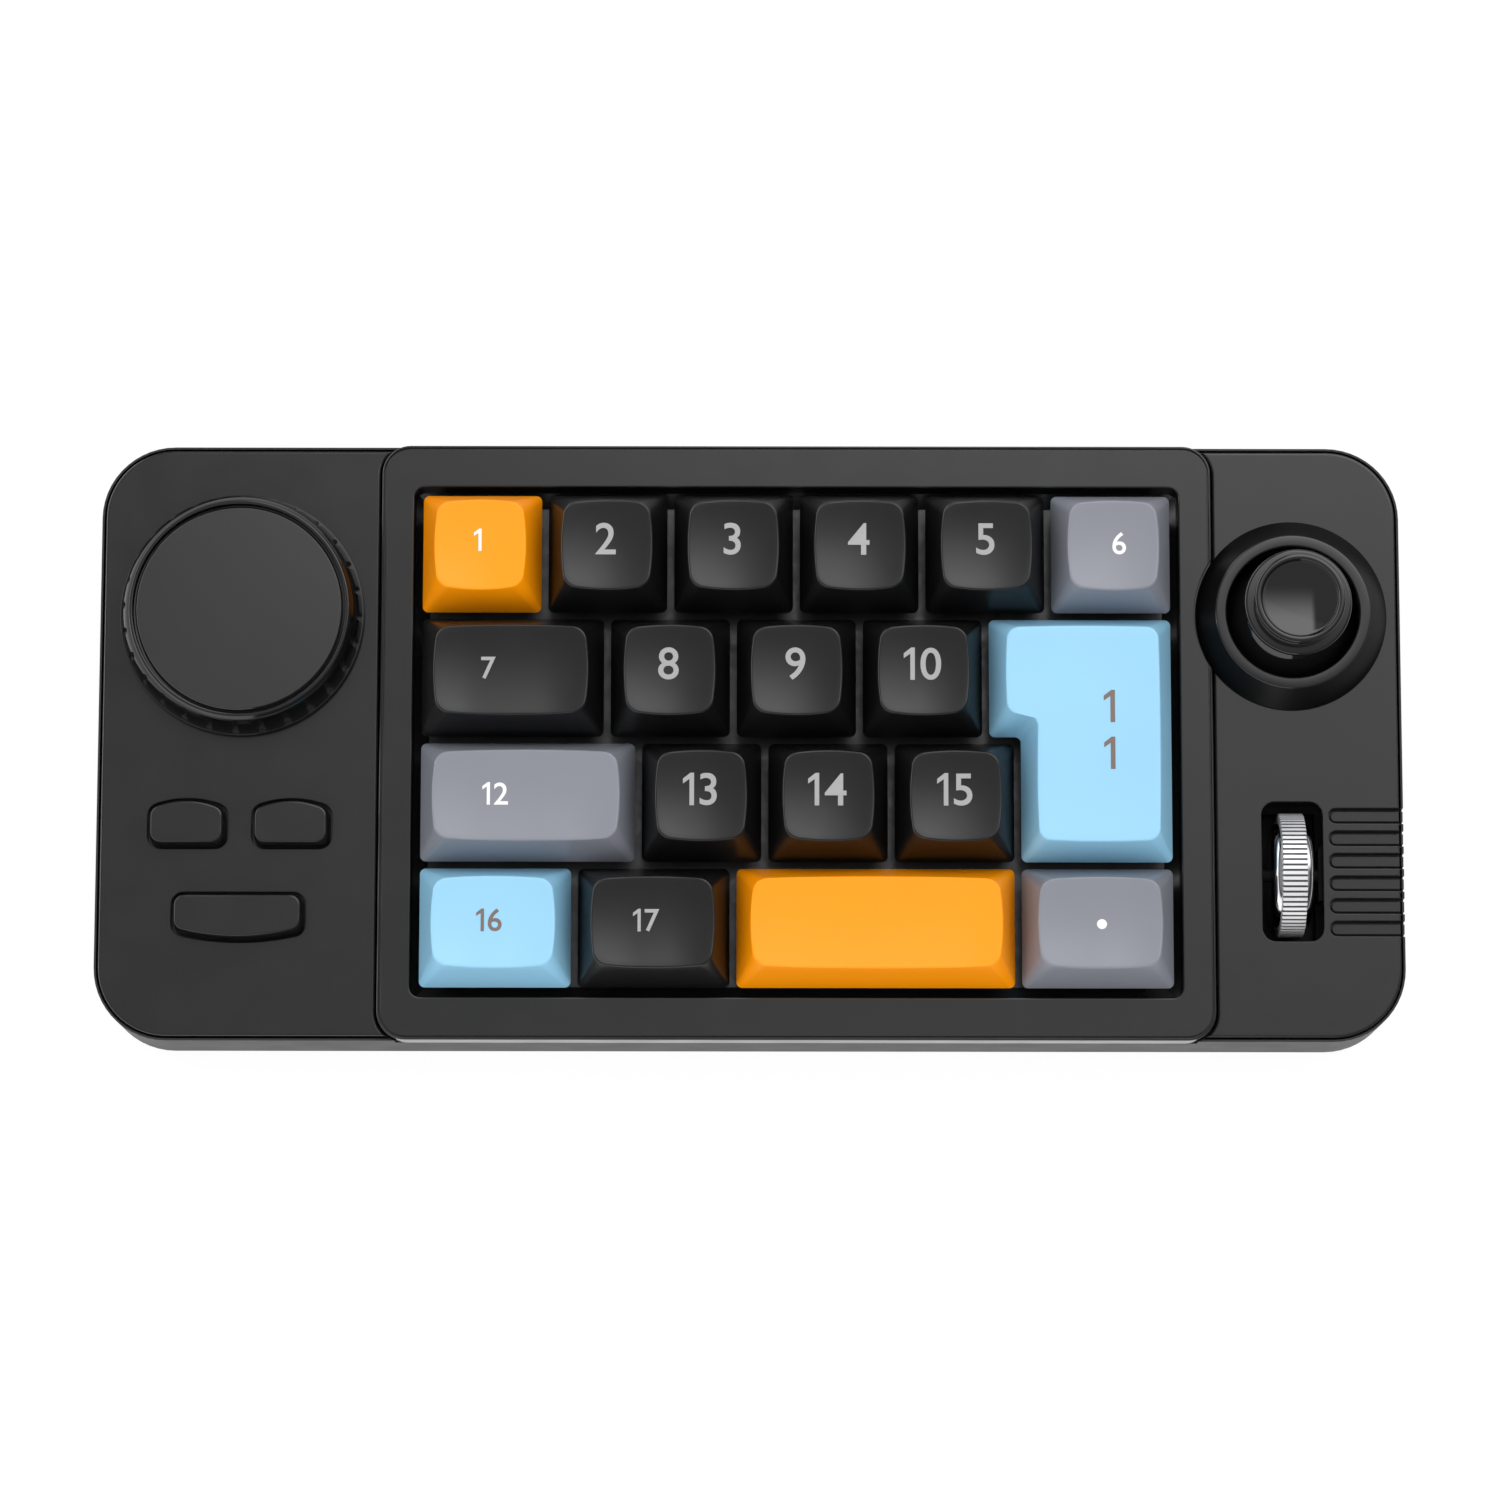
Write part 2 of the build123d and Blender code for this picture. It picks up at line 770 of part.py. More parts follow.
def encoder_shaft():
    bar = rod(shaft_radius, shaft_low, dial_low) + shaft_with_flat(0, dial_low, shaft_top)
    return Pos(dial_x, dial_y) * bar


def dial():
    foot = dial_radius - dial_foot_inset
    rim_inner = dial_rim_radius - dial_rim_width
    seat = dial_recess - dial_low
    profile = Polyline(
        (0, 0.0), (dial_radius, 0.0), (dial_radius, dial_base_height), (foot, dial_foot_height),
        (dial_rim_radius, dial_height), (rim_inner, dial_height), (rim_inner, seat), (0, seat),
        close=True,
    )
    body = turned([profile])
    notch_floor = foot - notch_depth
    notch = rod(notch_radius, dial_foot_height, dial_height, notch_floor + notch_radius, 0)
    body -= [Rot(0, 0, 360 / dial_notches * index) * notch for index in range(dial_notches)]
    hollow = rod(notch_floor - dial_wall, 0, dial_hollow) - rod(dial_hub_radius, 0, dial_hollow)
    bore = shaft_with_flat(dial_fit, 0, shaft_top - dial_low)
    return Pos(dial_x, dial_y, dial_low) * (body - hollow - bore)


def dial_cap():
    radius = dial_rim_radius - dial_rim_width - dial_groove
    disc = rod(radius, dial_recess, dial_top, dial_x, dial_y)
    return chamfer(disc.edges().sort_by(Axis.Z)[-1:], dial_cap_bevel)


# Function buttons
def button_places():
    """Centre, width and turn of each button's hole; the arched side faces away from the pair's middle."""
    half = button_pair_spread / 2
    return [
        (dial_x - half, button_pair_y, button_pair_width, 0),
        (dial_x + half, button_pair_y, button_pair_width, 0),
        (dial_x, button_low_y, button_low_width, 180),
    ]


def button_plan(width, depth, arch, corner):
    """Rounded outline whose back side bows out by the arch."""
    x, y = width / 2, depth / 2
    sides = Polyline((-x, y - arch), (-x, -y), (x, -y), (x, y - arch))
    bow = ThreePointArc((x, y - arch), (0, y), (-x, y - arch))
    plan = make_face([sides, bow])
    return fillet(plan.vertices(), corner)


def button(width):
    """Button about its own centre, with the plunger of the switch below it."""
    base_width = width - 2 * button_gap
    base_depth = button_depth - 2 * button_gap
    top_width = base_width - 2 * button_side_inset
    top_depth = base_depth - 2 * button_side_inset
    flange_top = seat_level - button_flange_gap
    flange_low = flange_top - button_flange_height
    top = wing_top + button_rise
    corner = button_corner - button_gap
    plan = button_plan(base_width, base_depth, button_arch, corner)
    crown_plan = button_plan(top_width, top_depth, button_arch, corner)
    flange_width = width + 2 * button_flange
    flange_depth = button_depth + 2 * button_flange
    flange_plan = button_plan(flange_width, flange_depth, button_arch, button_corner)
    body = Pos(0, 0, flange_low) * extrude(flange_plan, button_flange_height)
    body += Pos(0, 0, flange_top) * extrude(plan, wing_top - flange_top)
    body += loft([Pos(0, 0, wing_top) * plan, Pos(0, 0, top) * crown_plan])
    body = fillet(body.faces().sort_by(Axis.Z)[-1].edges(), button_round)
    tact_top = board_top + tact_height
    plunger_top = tact_top + plunger_rise
    stem = rod(button_stem_radius, plunger_top + button_stem_gap, flange_low)
    plunger = rod(plunger_radius, board_top + tact_floor + button_travel + plunger_clearance, plunger_top)
    return [body + stem, plunger]


def buttons():
    names = ["button_left", "button_right", "button_front"]
    made = {}
    for name, (x, y, width, turn) in zip(names, button_places()):
        made[name] = group(Pos(x, y) * Rot(0, 0, turn) * piece for piece in button(width))
    return made


def tact_switches():
    body = block(tact_side, tact_side, board_top, board_top + tact_height)
    body -= rod(plunger_radius + plunger_clearance, board_top + tact_floor, board_top + tact_height)
    return group(Pos(x, y) * body for x, y, width, turn in button_places())


# Thumb stick
def stick_bezel():
    """Raised ring with a hollow-curved outer slope."""
    rise = bezel_height
    outline = [
        Polyline(
            (bezel_ring_inner, rise), (bezel_ring_inner, 0.0),
            (bezel_radius, 0.0), (bezel_radius, bezel_foot),
        ),
        ThreePointArc(
            (bezel_radius, bezel_foot),
            ((bezel_radius + bezel_ring_outer) / 2 - bezel_foot, (rise + bezel_foot) / 2 - bezel_foot),
            (bezel_ring_outer, rise),
        ),
        Line((bezel_ring_outer, rise), (bezel_ring_inner, rise)),
    ]
    return Pos(stick_x, stick_y, wing_top) * turned(outline)


def cross_pins(radius, inner, outer, along_x):
    """Two pins on one line through the pivot, at the pivot's level."""
    turn = Rot(0, 90, 0) if along_x else Rot(90, 0, 0)
    return [turn * rod(radius, low, high) for low, high in ((inner, outer), (-outer, -inner))]


def stick_housing():
    low = board_top - pivot_level
    body = block(stick_house_side, stick_house_side, low, stick_house_rise, corner=stick_house_corner)
    inner = stick_house_side - 2 * stick_house_wall
    corner = stick_house_corner - stick_house_wall
    body -= block(inner, inner, low + stick_house_floor, stick_house_rise, corner=corner)
    inner_half = stick_house_half - stick_house_wall
    body -= cross_pins(gimbal_pin + pin_clearance, inner_half, stick_house_half, True)
    return Pos(stick_x, stick_y, pivot_level) * body


def gimbal_ring():
    half = gimbal_thickness / 2
    ring = rod(gimbal_outer, -half, half) - rod(gimbal_inner, -half, half)
    middle = (gimbal_outer + gimbal_inner) / 2
    ring += cross_pins(gimbal_pin, middle, stick_house_half - pin_end_gap, True)
    ring -= cross_pins(gimbal_pin + pin_clearance, gimbal_inner - pin_end_gap, gimbal_outer, False)
    return Pos(stick_x, stick_y, pivot_level) * ring


def stick_hub():
    hub = rod(hub_radius, -hub_half_height, hub_half_height)
    hub += cross_pins(gimbal_pin, hub_radius / 2, gimbal_outer - pin_end_gap, False)
    hub -= rod(stick_shaft_radius + shaft_clearance, -hub_half_height, hub_half_height)
    return Pos(stick_x, stick_y, pivot_level) * hub


def stick_shaft():
    collar = hub_half_height + stick_press + stick_collar_gap
    shaft = rod(stick_shaft_radius, -stick_shaft_tail, shaft_reach)
    shaft += rod(stick_collar_radius, collar, collar + stick_collar_height)
    return Pos(stick_x, stick_y, pivot_level) * shaft


def stick_cap():
    """Thumb cap: domed skirt about the pivot, neck, lower flange and a dished rim."""
    angle = radians(dome_angle)
    inner = dome_radius - dome_wall
    half_inner = sqrt(inner**2 - neck_radius**2)
    half_outer = sqrt(dome_radius**2 - neck_radius**2)
    bend = (angle + asin(neck_radius / dome_radius)) / 2
    outline = [
        Polyline((0, cap_rim_rise), (0, half_inner), (neck_radius, half_inner)),
        ThreePointArc(
            (neck_radius, half_inner),
            (inner * sin(bend), inner * cos(bend)),
            (inner * sin(angle), inner * cos(angle)),
        ),
        Line((inner * sin(angle), inner * cos(angle)), (dome_radius * sin(angle), dome_radius * cos(angle))),
        ThreePointArc(
            (dome_radius * sin(angle), dome_radius * cos(angle)),
            (dome_radius * sin(bend), dome_radius * cos(bend)),
            (neck_radius, half_outer),
        ),
        Polyline(
            (neck_radius, half_outer), (neck_radius, flange_rise - flange_thickness),
            (flange_radius, flange_rise - flange_thickness), (flange_radius, flange_rise),
            (cap_waist, flange_rise), (cap_rim_radius, cap_rim_rise), (0, cap_rim_rise),
        ),
    ]
    ball = (cap_dish_radius**2 + cap_dish_depth**2) / (2 * cap_dish_depth)
    dish = Pos(0, 0, cap_rim_rise - cap_dish_depth + ball) * Sphere(ball)
    bore = rod(stick_shaft_radius + dial_fit, half_inner, shaft_reach)
    return Pos(stick_x, stick_y, pivot_level) * (turned(outline) - dish - bore)


# Wheel
axle_left = -bracket_reach - bracket_wall
axle_right = bracket_reach + bracket_wall + axle_entry


def wheel_rim():
    """Band of fine straight teeth, on a solid disc."""
    half = wheel_band / 2
    root = wheel_radius - tooth_depth
    gap = (1 - tooth_share) * 360 / wheel_teeth
    ring = rod(wheel_radius, -half, half)
    slit = block(2 * tooth_depth, root * radians(gap), -half, half, wheel_radius, 0)
    ring -= [Rot(0, 0, 360 / wheel_teeth * index) * slit for index in range(wheel_teeth)]
    return wheel_pose * (ring - rod(wheel_axle_radius, -half, half))


def wheel_flanges():
    half = wheel_band / 2
    face = half + flange_wheel_width
    flange = rod(wheel_radius - flange_step, half, face)
    flange = fillet(flange.edges().sort_by(Axis.Z)[-1:], flange_wheel_width - flange_face_rim)
    flange -= rod(wheel_axle_radius, half, face)
    return group(wheel_pose * Rot(turn, 0, 0) * flange for turn in (0, 180))


def wheel_axle():
    return wheel_pose * rod(wheel_axle_radius, axle_left, axle_right)


def wheel_bracket():
    outer_width = bracket_inner + 2 * bracket_wall
    outer_depth = wheel_well + 2 * bracket_wall
    base_top = board_top + bracket_base
    bracket = block(outer_width, outer_depth, board_top, base_top)
    cheek_top = seat_level - cheek_roof_gap
    bracket += block(outer_width, cheek_width, board_top, cheek_top)
    bracket -= block(bracket_inner, wheel_well, board_top, cheek_top)
    bore = wheel_pose * rod(wheel_axle_radius + axle_clearance, axle_left, -axle_left)
    return Pos(wheel_x, wheel_y) * bracket - bore


def wheel_encoder():
    left = wheel_x - axle_left
    x = left + wheel_encoder_width / 2
    top = seat_level - cheek_roof_gap
    body = block(wheel_encoder_width, wheel_encoder_depth, board_top, top, x, wheel_y)
    return body - wheel_pose * rod(wheel_axle_radius + axle_clearance, -axle_left, axle_right + pin_end_gap)


nodes = {
    "lower_case": lower_case(),
    "left_cover": left_cover(),
    "right_cover": right_cover(),
    "centre_frame": centre_frame(),
    "circuit_board": circuit_board(),
    "controller_chip": controller_chip(),
    "switch_plate": switch_plate(),
    "switch_housings": switch_housings(),
    "stabiliser_housings": stabiliser_housings(),
    "cable_inlet": cable_inlet(),
    "case_screws": case_screws(),
    "frame_screws": frame_screw_set(),
    "board_screws": board_screw_set(),
    "rubber_feet": rubber_feet(),
    "encoder_body": encoder_body(),
    "encoder_plunger": encoder_plunger(),
    "encoder_shaft": encoder_shaft(),
    "dial": dial(),
    "dial_cap": dial_cap(),
    "tact_switches": tact_switches(),
    "stick_bezel": stick_bezel(),
    "stick_housing": stick_housing(),
    "gimbal_ring": gimbal_ring(),
    "stick_hub": stick_hub(),
    "stick_shaft": stick_shaft(),
    "stick_cap": stick_cap(),
    "wheel_rim": wheel_rim(),
    "wheel_flanges": wheel_flanges(),
    "wheel_axle": wheel_axle(),
    "wheel_bracket": wheel_bracket(),
    "wheel_encoder": wheel_encoder(),
}
nodes.update(buttons())
nodes.update(keys())

os.makedirs("parts", exist_ok=True)
for name, shape in nodes.items():
    export_step(shape, f"parts/{name}.step")
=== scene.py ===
import bpy
import json
from math import asin, atan2, cos, degrees, pi, radians, sin, sqrt
from mathutils import Matrix, Vector


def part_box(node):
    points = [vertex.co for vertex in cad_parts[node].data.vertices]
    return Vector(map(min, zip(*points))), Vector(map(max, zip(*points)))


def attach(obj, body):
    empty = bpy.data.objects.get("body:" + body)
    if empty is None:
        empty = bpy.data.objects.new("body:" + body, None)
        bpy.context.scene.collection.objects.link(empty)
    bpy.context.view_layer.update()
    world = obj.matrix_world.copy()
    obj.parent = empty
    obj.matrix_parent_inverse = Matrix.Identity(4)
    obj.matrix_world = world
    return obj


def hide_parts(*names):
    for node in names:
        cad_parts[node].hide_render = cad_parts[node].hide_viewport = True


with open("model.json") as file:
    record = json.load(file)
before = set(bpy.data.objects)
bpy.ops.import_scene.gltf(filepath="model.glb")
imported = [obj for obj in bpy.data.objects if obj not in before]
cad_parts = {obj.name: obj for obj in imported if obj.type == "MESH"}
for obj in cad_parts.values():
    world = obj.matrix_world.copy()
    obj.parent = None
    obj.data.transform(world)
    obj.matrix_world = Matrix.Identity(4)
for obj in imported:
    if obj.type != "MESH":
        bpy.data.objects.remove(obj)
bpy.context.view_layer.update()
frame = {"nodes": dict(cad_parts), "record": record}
nodes = frame["nodes"]
MM = 0.001

# Camera of the photograph, in pixels, degrees and millimetres
PHOTO_SIDE = 1500
FOCAL_PIXELS = 5534.4
SENSOR_WIDTH = 36.0
CAMERA_ELEVATION = 80.994
CAMERA_ROLL = 0.08
CAMERA_DISTANCE = 835.44
CAMERA_TARGET = (0.0, -1.459, 18.8)
CLIP_START = 10.0

# Key caps, in millimetres
CAP_HEIGHT = 7.8
CAP_INSET = 2.4
CAP_BASE_CORNER = 0.9
CAP_TOP_CORNER = 2.2
TALL_TOP_CORNER = 1.9
CAP_DISH = 0.6
CAP_EDGE_ROUND = 0.3
CAP_BOW = 0.24
TALL_BOW = 0.12
CAP_WALL = 1.5
CAP_ROOF = 1.6
KEY_PITCH = 19.05
TALL_KEY = "key_11"
TALL_STEP = 0.25 * KEY_PITCH
SLIDER_HALF_WIDTH = 3.5
SLIDER_HALF_DEPTH = 2.9
SLIDER_OVERLAP = 0.2

# Rings of a cap's mesh: shares of its height up the wall, and of its width over the top
WALL_SHARES = (0.0, 0.03, 0.5, 0.8)
TOP_SHARES = (0.9, 0.78, 0.64, 0.5, 0.36, 0.22, 0.1)
HEART_SHARE = 0.1
EDGE_STEPS = 6
EDGE_PASSES = 6

# Legends, in millimetres
LEGEND_LARGE = 4.9
LEGEND_SMALL = 3.4
LEGEND_LIFT = 0.012
LEGEND_THICKNESS = 0.03
DOT_RADIUS = 0.75
DOT_STEPS = 32

# Digits: shares of their height, and steps in a curve
DIGIT_OF_FONT = 0.72
DIGIT_SWELL = 0.012
DIGIT_SPACE = 0.17
DIGIT_DROP = 1.45
DIGIT_STEPS = 6

# Textures: features per metre, and depths in millimetres
NOISE_LOW = 0.3
NOISE_HIGH = 0.7
TINT_SCALE = 45
SHEEN_SCALE = 160
SHEEN_SPREAD = 0.03
GRAIN_DEPTH = 0.02
METAL_TINT = 0.06
METAL_TINT_SCALE = 120
METAL_SHEEN_SPREAD = 0.25
MARK_DEPTH = 0.01
EDGE_SAMPLES = 6

# Steps round a turned piece
ROUND_STEPS = 192


# Materials
def node_tree(material):
    """Turns on a material's nodes; gives its tree and its shader."""
    material.use_nodes = True
    tree = material.node_tree
    return tree, tree.nodes["Principled BSDF"]


def add_noise(tree, scale, detail):
    """Noise in the object's own coordinates, with the scale in bumps per metre."""
    place = tree.nodes.new("ShaderNodeTexCoord")
    noise = tree.nodes.new("ShaderNodeTexNoise")
    noise.inputs["Scale"].default_value = scale
    noise.inputs["Detail"].default_value = detail
    tree.links.new(place.outputs["Object"], noise.inputs["Vector"])
    return noise


def add_range(tree, source, low, high):
    """Spreads a noise over a range of values."""
    spread = tree.nodes.new("ShaderNodeMapRange")
    spread.inputs["From Min"].default_value = NOISE_LOW
    spread.inputs["From Max"].default_value = NOISE_HIGH
    spread.inputs["To Min"].default_value = low
    spread.inputs["To Max"].default_value = high
    tree.links.new(source, spread.inputs["Value"])
    return spread.outputs["Result"]


def add_bump(tree, shader, source, strength, depth, edge=0.0):
    """Fine relief; an edge size also breaks the sharp edges of the piece."""
    bump = tree.nodes.new("ShaderNodeBump")
    bump.inputs["Strength"].default_value = strength
    bump.inputs["Distance"].default_value = depth
    tree.links.new(source, bump.inputs["Height"])
    tree.links.new(bump.outputs["Normal"], shader.inputs["Normal"])
    if edge:
        broken = tree.nodes.new("ShaderNodeBevel")
        broken.samples = EDGE_SAMPLES
        broken.inputs["Radius"].default_value = edge * MM
        tree.links.new(broken.outputs["Normal"], bump.inputs["Normal"])


def add_tint(tree, shader, colour, spread, scale):
    """Base colour with a slow, faint drift between a darker and a lighter shade."""
    noise = add_noise(tree, scale, detail=2.0)
    ramp = tree.nodes.new("ShaderNodeValToRGB")
    dark = [c * (1 - spread) for c in colour]
    light = [min(1.0, c * (1 + spread)) for c in colour]
    ramp.color_ramp.elements[0].position = NOISE_LOW
    ramp.color_ramp.elements[1].position = NOISE_HIGH
    ramp.color_ramp.elements[0].color = (*dark, 1)
    ramp.color_ramp.elements[1].color = (*light, 1)
    tree.links.new(noise.outputs["Fac"], ramp.inputs["Fac"])
    tree.links.new(ramp.outputs["Color"], shader.inputs["Base Color"])


def plastic(name, colour, roughness, grain=2600, bump=0.12, tint=0.05, specular=0.5, edge=0.0):
    """Moulded plastic: fine spark-eroded grain, uneven sheen and a faint drift of colour."""
    material = bpy.data.materials.new(name)
    tree, shader = node_tree(material)
    add_tint(tree, shader, colour, tint, TINT_SCALE)
    sheen = add_noise(tree, SHEEN_SCALE, detail=4.0)
    rough = add_range(tree, sheen.outputs["Fac"], roughness - SHEEN_SPREAD, roughness + SHEEN_SPREAD)
    tree.links.new(rough, shader.inputs["Roughness"])
    fine = add_noise(tree, grain, detail=2.0)
    add_bump(tree, shader, fine.outputs["Fac"], bump, GRAIN_DEPTH * MM, edge)
    shader.inputs["Specular IOR Level"].default_value = specular
    return material


def metal(name, colour, roughness, scale=900, bump=0.1, metallic=1.0):
    """Metal with fine machining marks; a lower metallic share gives a silver paint."""
    material = bpy.data.materials.new(name)
    tree, shader = node_tree(material)
    add_tint(tree, shader, colour, METAL_TINT, METAL_TINT_SCALE)
    shader.inputs["Metallic"].default_value = metallic
    marks = add_noise(tree, scale, detail=3.0)
    smooth = roughness * (1 - METAL_SHEEN_SPREAD)
    dull = roughness * (1 + METAL_SHEEN_SPREAD)
    rough = add_range(tree, marks.outputs["Fac"], smooth, dull)
    tree.links.new(rough, shader.inputs["Roughness"])
    add_bump(tree, shader, marks.outputs["Fac"], bump, MARK_DEPTH * MM)
    return material


cover_look = plastic("satin_black", (0.010, 0.010, 0.0105), 0.22, edge=0.15)
case_look = plastic("satin_black_case", (0.016, 0.016, 0.0165), 0.5, specular=0.4)
button_look = plastic("button_black", (0.010, 0.010, 0.0105), 0.22, edge=0.15)
dial_look = plastic("dial_black", (0.006, 0.006, 0.0063), 0.13, bump=0.03)
disc_look = plastic("disc_black", (0.0155, 0.0155, 0.016), 0.4)
gloss_look = plastic("gloss_black", (0.006, 0.006, 0.0065), 0.06, bump=0.01)
bezel_look = plastic("bezel_black", (0.008, 0.008, 0.0085), 0.15, bump=0.03)
# Darker, duller copy of the bezel plastic: painted shade on the bezel's outer slope
bezel_slope_shade_look = plastic("bezel_slope_painted_shade", (0.002, 0.002, 0.0022), 0.34, bump=0.02, specular=0.14)
# Darker copy of the dial plastic, with broken edges: painted shade on the dial's outer wall
dial_wall_shade_look = plastic("dial_wall_painted_shade", (0.003, 0.003, 0.0032), 0.12, bump=0.02, specular=0.4, edge=0.12)
key_looks = {
    "key_black": plastic("key_black", (0.006, 0.006, 0.0063), 0.32, bump=0.06, specular=0.45),
    "key_grey": plastic("key_grey", (0.212, 0.222, 0.258), 0.32, bump=0.08, tint=0.03),
    "key_blue": plastic("key_blue", (0.28, 0.57, 0.78), 0.32, bump=0.08, tint=0.02),
    "key_orange": plastic("key_orange", (1.0, 0.31, 0.001), 0.32, bump=0.08, tint=0.02, specular=0.3),
}
legend_looks = {
    "key_black": plastic("legend_silver", (0.345, 0.345, 0.345), 0.5, tint=0.03),
    "key_grey": plastic("legend_white", (0.80, 0.80, 0.80), 0.5, tint=0.02),
    "key_blue": plastic("legend_taupe", (0.18, 0.127, 0.11), 0.5, tint=0.03),
    "key_orange": plastic("legend_white_warm", (0.82, 0.81, 0.79), 0.5, tint=0.02),
}
steel_look = metal("steel", (0.62, 0.62, 0.63), 0.38)
wheel_look = metal("wheel_silver", (0.80, 0.80, 0.81), 0.38, metallic=0.35)
# Dark copy of the wheel silver: painted shade in the gaps between the teeth
knurl_gap_shade_look = metal("knurl_gap_painted_shade", (0.14, 0.14, 0.145), 0.45, metallic=0.35)
chrome_look = metal("chrome", (0.45, 0.45, 0.465), 0.08, bump=0.03)
plate_look = metal("plate_grey", (0.10, 0.10, 0.104), 0.38)
inner_look = plastic("inner_black", (0.012, 0.012, 0.0125), 0.6, specular=0.15)
board_look = plastic("board_black", (0.012, 0.016, 0.014), 0.35)
rubber_look = plastic("rubber", (0.02, 0.02, 0.02), 0.8, grain=1400, bump=0.3)

looks = {
    "case_plastic": case_look,
    "cover_plastic": cover_look,
    "frame_plastic": cover_look,
    "dial_plastic": dial_look,
    "bezel_plastic": bezel_look,
    "stick_plastic": gloss_look,
    "button_plastic": button_look,
    "wheel_metal": wheel_look,
    "flange_chrome": chrome_look,
    "steel": steel_look,
    "plate_metal": plate_look,
    "board": board_look,
    "chip": inner_look,
    "switch_plastic": inner_look,
    "foot_rubber": rubber_look,
}
looks.update(key_looks)
slot_of = {part["node"]: part["material_slot"] for part in frame["record"]["subparts"]}
for name, piece in nodes.items():
    piece.data.materials.clear()
    piece.data.materials.append(looks[slot_of[name]])


# Mesh helpers
def make_piece(name, points, faces, look, body, sharp=35):
    """New mesh piece from points in millimetres, shaded smooth apart from sharp edges."""
    mesh = bpy.data.meshes.new(name)
    mesh.from_pydata([Vector(p) * MM for p in points], [], faces)
    mesh.validate()
    mesh.shade_smooth()
    mesh.set_sharp_from_angle(angle=radians(sharp))
    mesh.materials.append(look)
    piece = bpy.data.objects.new(name, mesh)
    bpy.context.scene.collection.objects.link(piece)
    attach(piece, body)
    return piece


def paint_wall(piece, look, centre, inner, outer):
    """Gives a second look to the faces of a turned piece that lie between two radii."""
    piece.data.materials.append(look)
    middle = Vector(centre).xy * MM
    for face in piece.data.polygons:
        if inner * MM < (face.center.xy - middle).length < outer * MM:
            face.material_index = 1


def ring_faces(rings, count):
    """Quads between successive rings of the same number of points."""
    faces = []
    for ring in range(rings - 1):
        low = ring * count
        for index in range(count):
            after = (index + 1) % count
            faces.append((low + index, low + after, low + count + after, low + count + index))
    return faces


def bent_point(start, bend, end, t):
    """Point of a smooth curve from start to end that is drawn towards a bend point."""
    return start * (1 - t) ** 2 + bend * 2 * t * (1 - t) + end * t**2


def bent_line(start, bend, end, steps):
    """Smooth curve as a list of (radius, height) points."""
    return [tuple(bent_point(start, bend, end, step / steps)) for step in range(steps + 1)]


def rounded_profile(corners, steps=5):
    """Profile of (radius, height, round) corners, with each corner rounded by that much."""
    points = []
    for index, (radius, height, bend) in enumerate(corners):
        here = Vector((radius, height))
        if bend == 0 or index in (0, len(corners) - 1):
            points.append((radius, height))
            continue
        before = Vector(corners[index - 1][:2]) - here
        after = Vector(corners[index + 1][:2]) - here
        start = here + before.normalized() * min(bend, before.length / 2)
        end = here + after.normalized() * min(bend, after.length / 2)
        points += bent_line(start, here, end, steps)
    return points


UPRIGHT = Matrix.Identity(3)
ACROSS = Matrix(((0, 0, 1), (0, 1, 0), (-1, 0, 0)))


def lathe(
    name, profile, centre, look, body, segments=ROUND_STEPS, shape=None, turn=UPRIGHT, sharp=35
):
    """Closed turned piece; shape may change a radius by its height and angle."""
    points = []
    for radius, height in profile:
        for index in range(segments):
            angle = 2 * pi * index / segments
            reach = shape(radius, height, angle) if shape else radius
            spot = turn @ Vector((reach * cos(angle), reach * sin(angle), height))
            points.append(Vector(centre) + spot)
    faces = ring_faces(len(profile), segments)
    last = (len(profile) - 1) * segments
    if profile[0] == profile[-1]:
        points = points[:last]
        faces = [tuple(i % last for i in face) for face in faces]
    else:
        faces.append(tuple(last + i for i in range(segments)))
        faces.append(tuple(reversed(range(segments))))
    return make_piece(name, points, faces, look, body, sharp)


# Key caps
def rounded_outline(corners, radius, bow=0.0, arc_steps=8, side_steps=10):
    """Closed outline with every corner rounded and every side bowed out and cut in even steps."""
    arcs = []
    total = len(corners)
    for index, corner in enumerate(corners):
        here = Vector(corner)
        before = (Vector(corners[index - 1]) - here).normalized()
        after = (Vector(corners[(index + 1) % total]) - here).normalized()
        start = here + before * radius
        end = here + after * radius
        centre = here + (before + after) * radius
        first = atan2(start.y - centre.y, start.x - centre.x)
        sweep = atan2(end.y - centre.y, end.x - centre.x) - first
        sweep = (sweep + pi) % (2 * pi) - pi
        turns = [first + sweep * k / arc_steps for k in range(arc_steps + 1)]
        arcs.append([centre + radius * Vector((cos(turn), sin(turn))) for turn in turns])
    outline = []
    for index, arc in enumerate(arcs):
        outline += arc
        start, end = arc[-1], arcs[(index + 1) % total][0]
        outward = Vector((end.y - start.y, start.x - end.x)).normalized()
        for step in range(1, side_steps):
            t = step / side_steps
            outline.append(start.lerp(end, t) + outward * bow * 4 * t * (1 - t))
    return outline


def cap_corners(width, depth, inset, tall):
    """Corners of a cap's plan, counter-clockwise; the tall cap steps out at its back left."""
    x, y = width / 2 - inset, depth / 2 - inset
    if not tall:
        return [(x, y), (-x, y), (-x, -y), (x, -y)]
    step_y = KEY_PITCH - depth / 2 + inset
    return [(x, y), (-x - TALL_STEP, y), (-x - TALL_STEP, step_y), (-x, step_y), (-x, -y), (x, -y)]


def dish_height(x, y, width, depth, tall):
    """Height of the dished top over its lowest point: round ends joined by a trough."""
    if tall:
        span = width / 2 - CAP_INSET + TALL_STEP
        across = x
    else:
        span = KEY_PITCH / 2 - CAP_INSET
        across = max(0.0, abs(x) - max(0.0, (width - depth) / 2))
    along = max(0.0, abs(y) - max(0.0, (depth - width) / 2))
    return (across**2 + along**2) * CAP_DISH / span**2


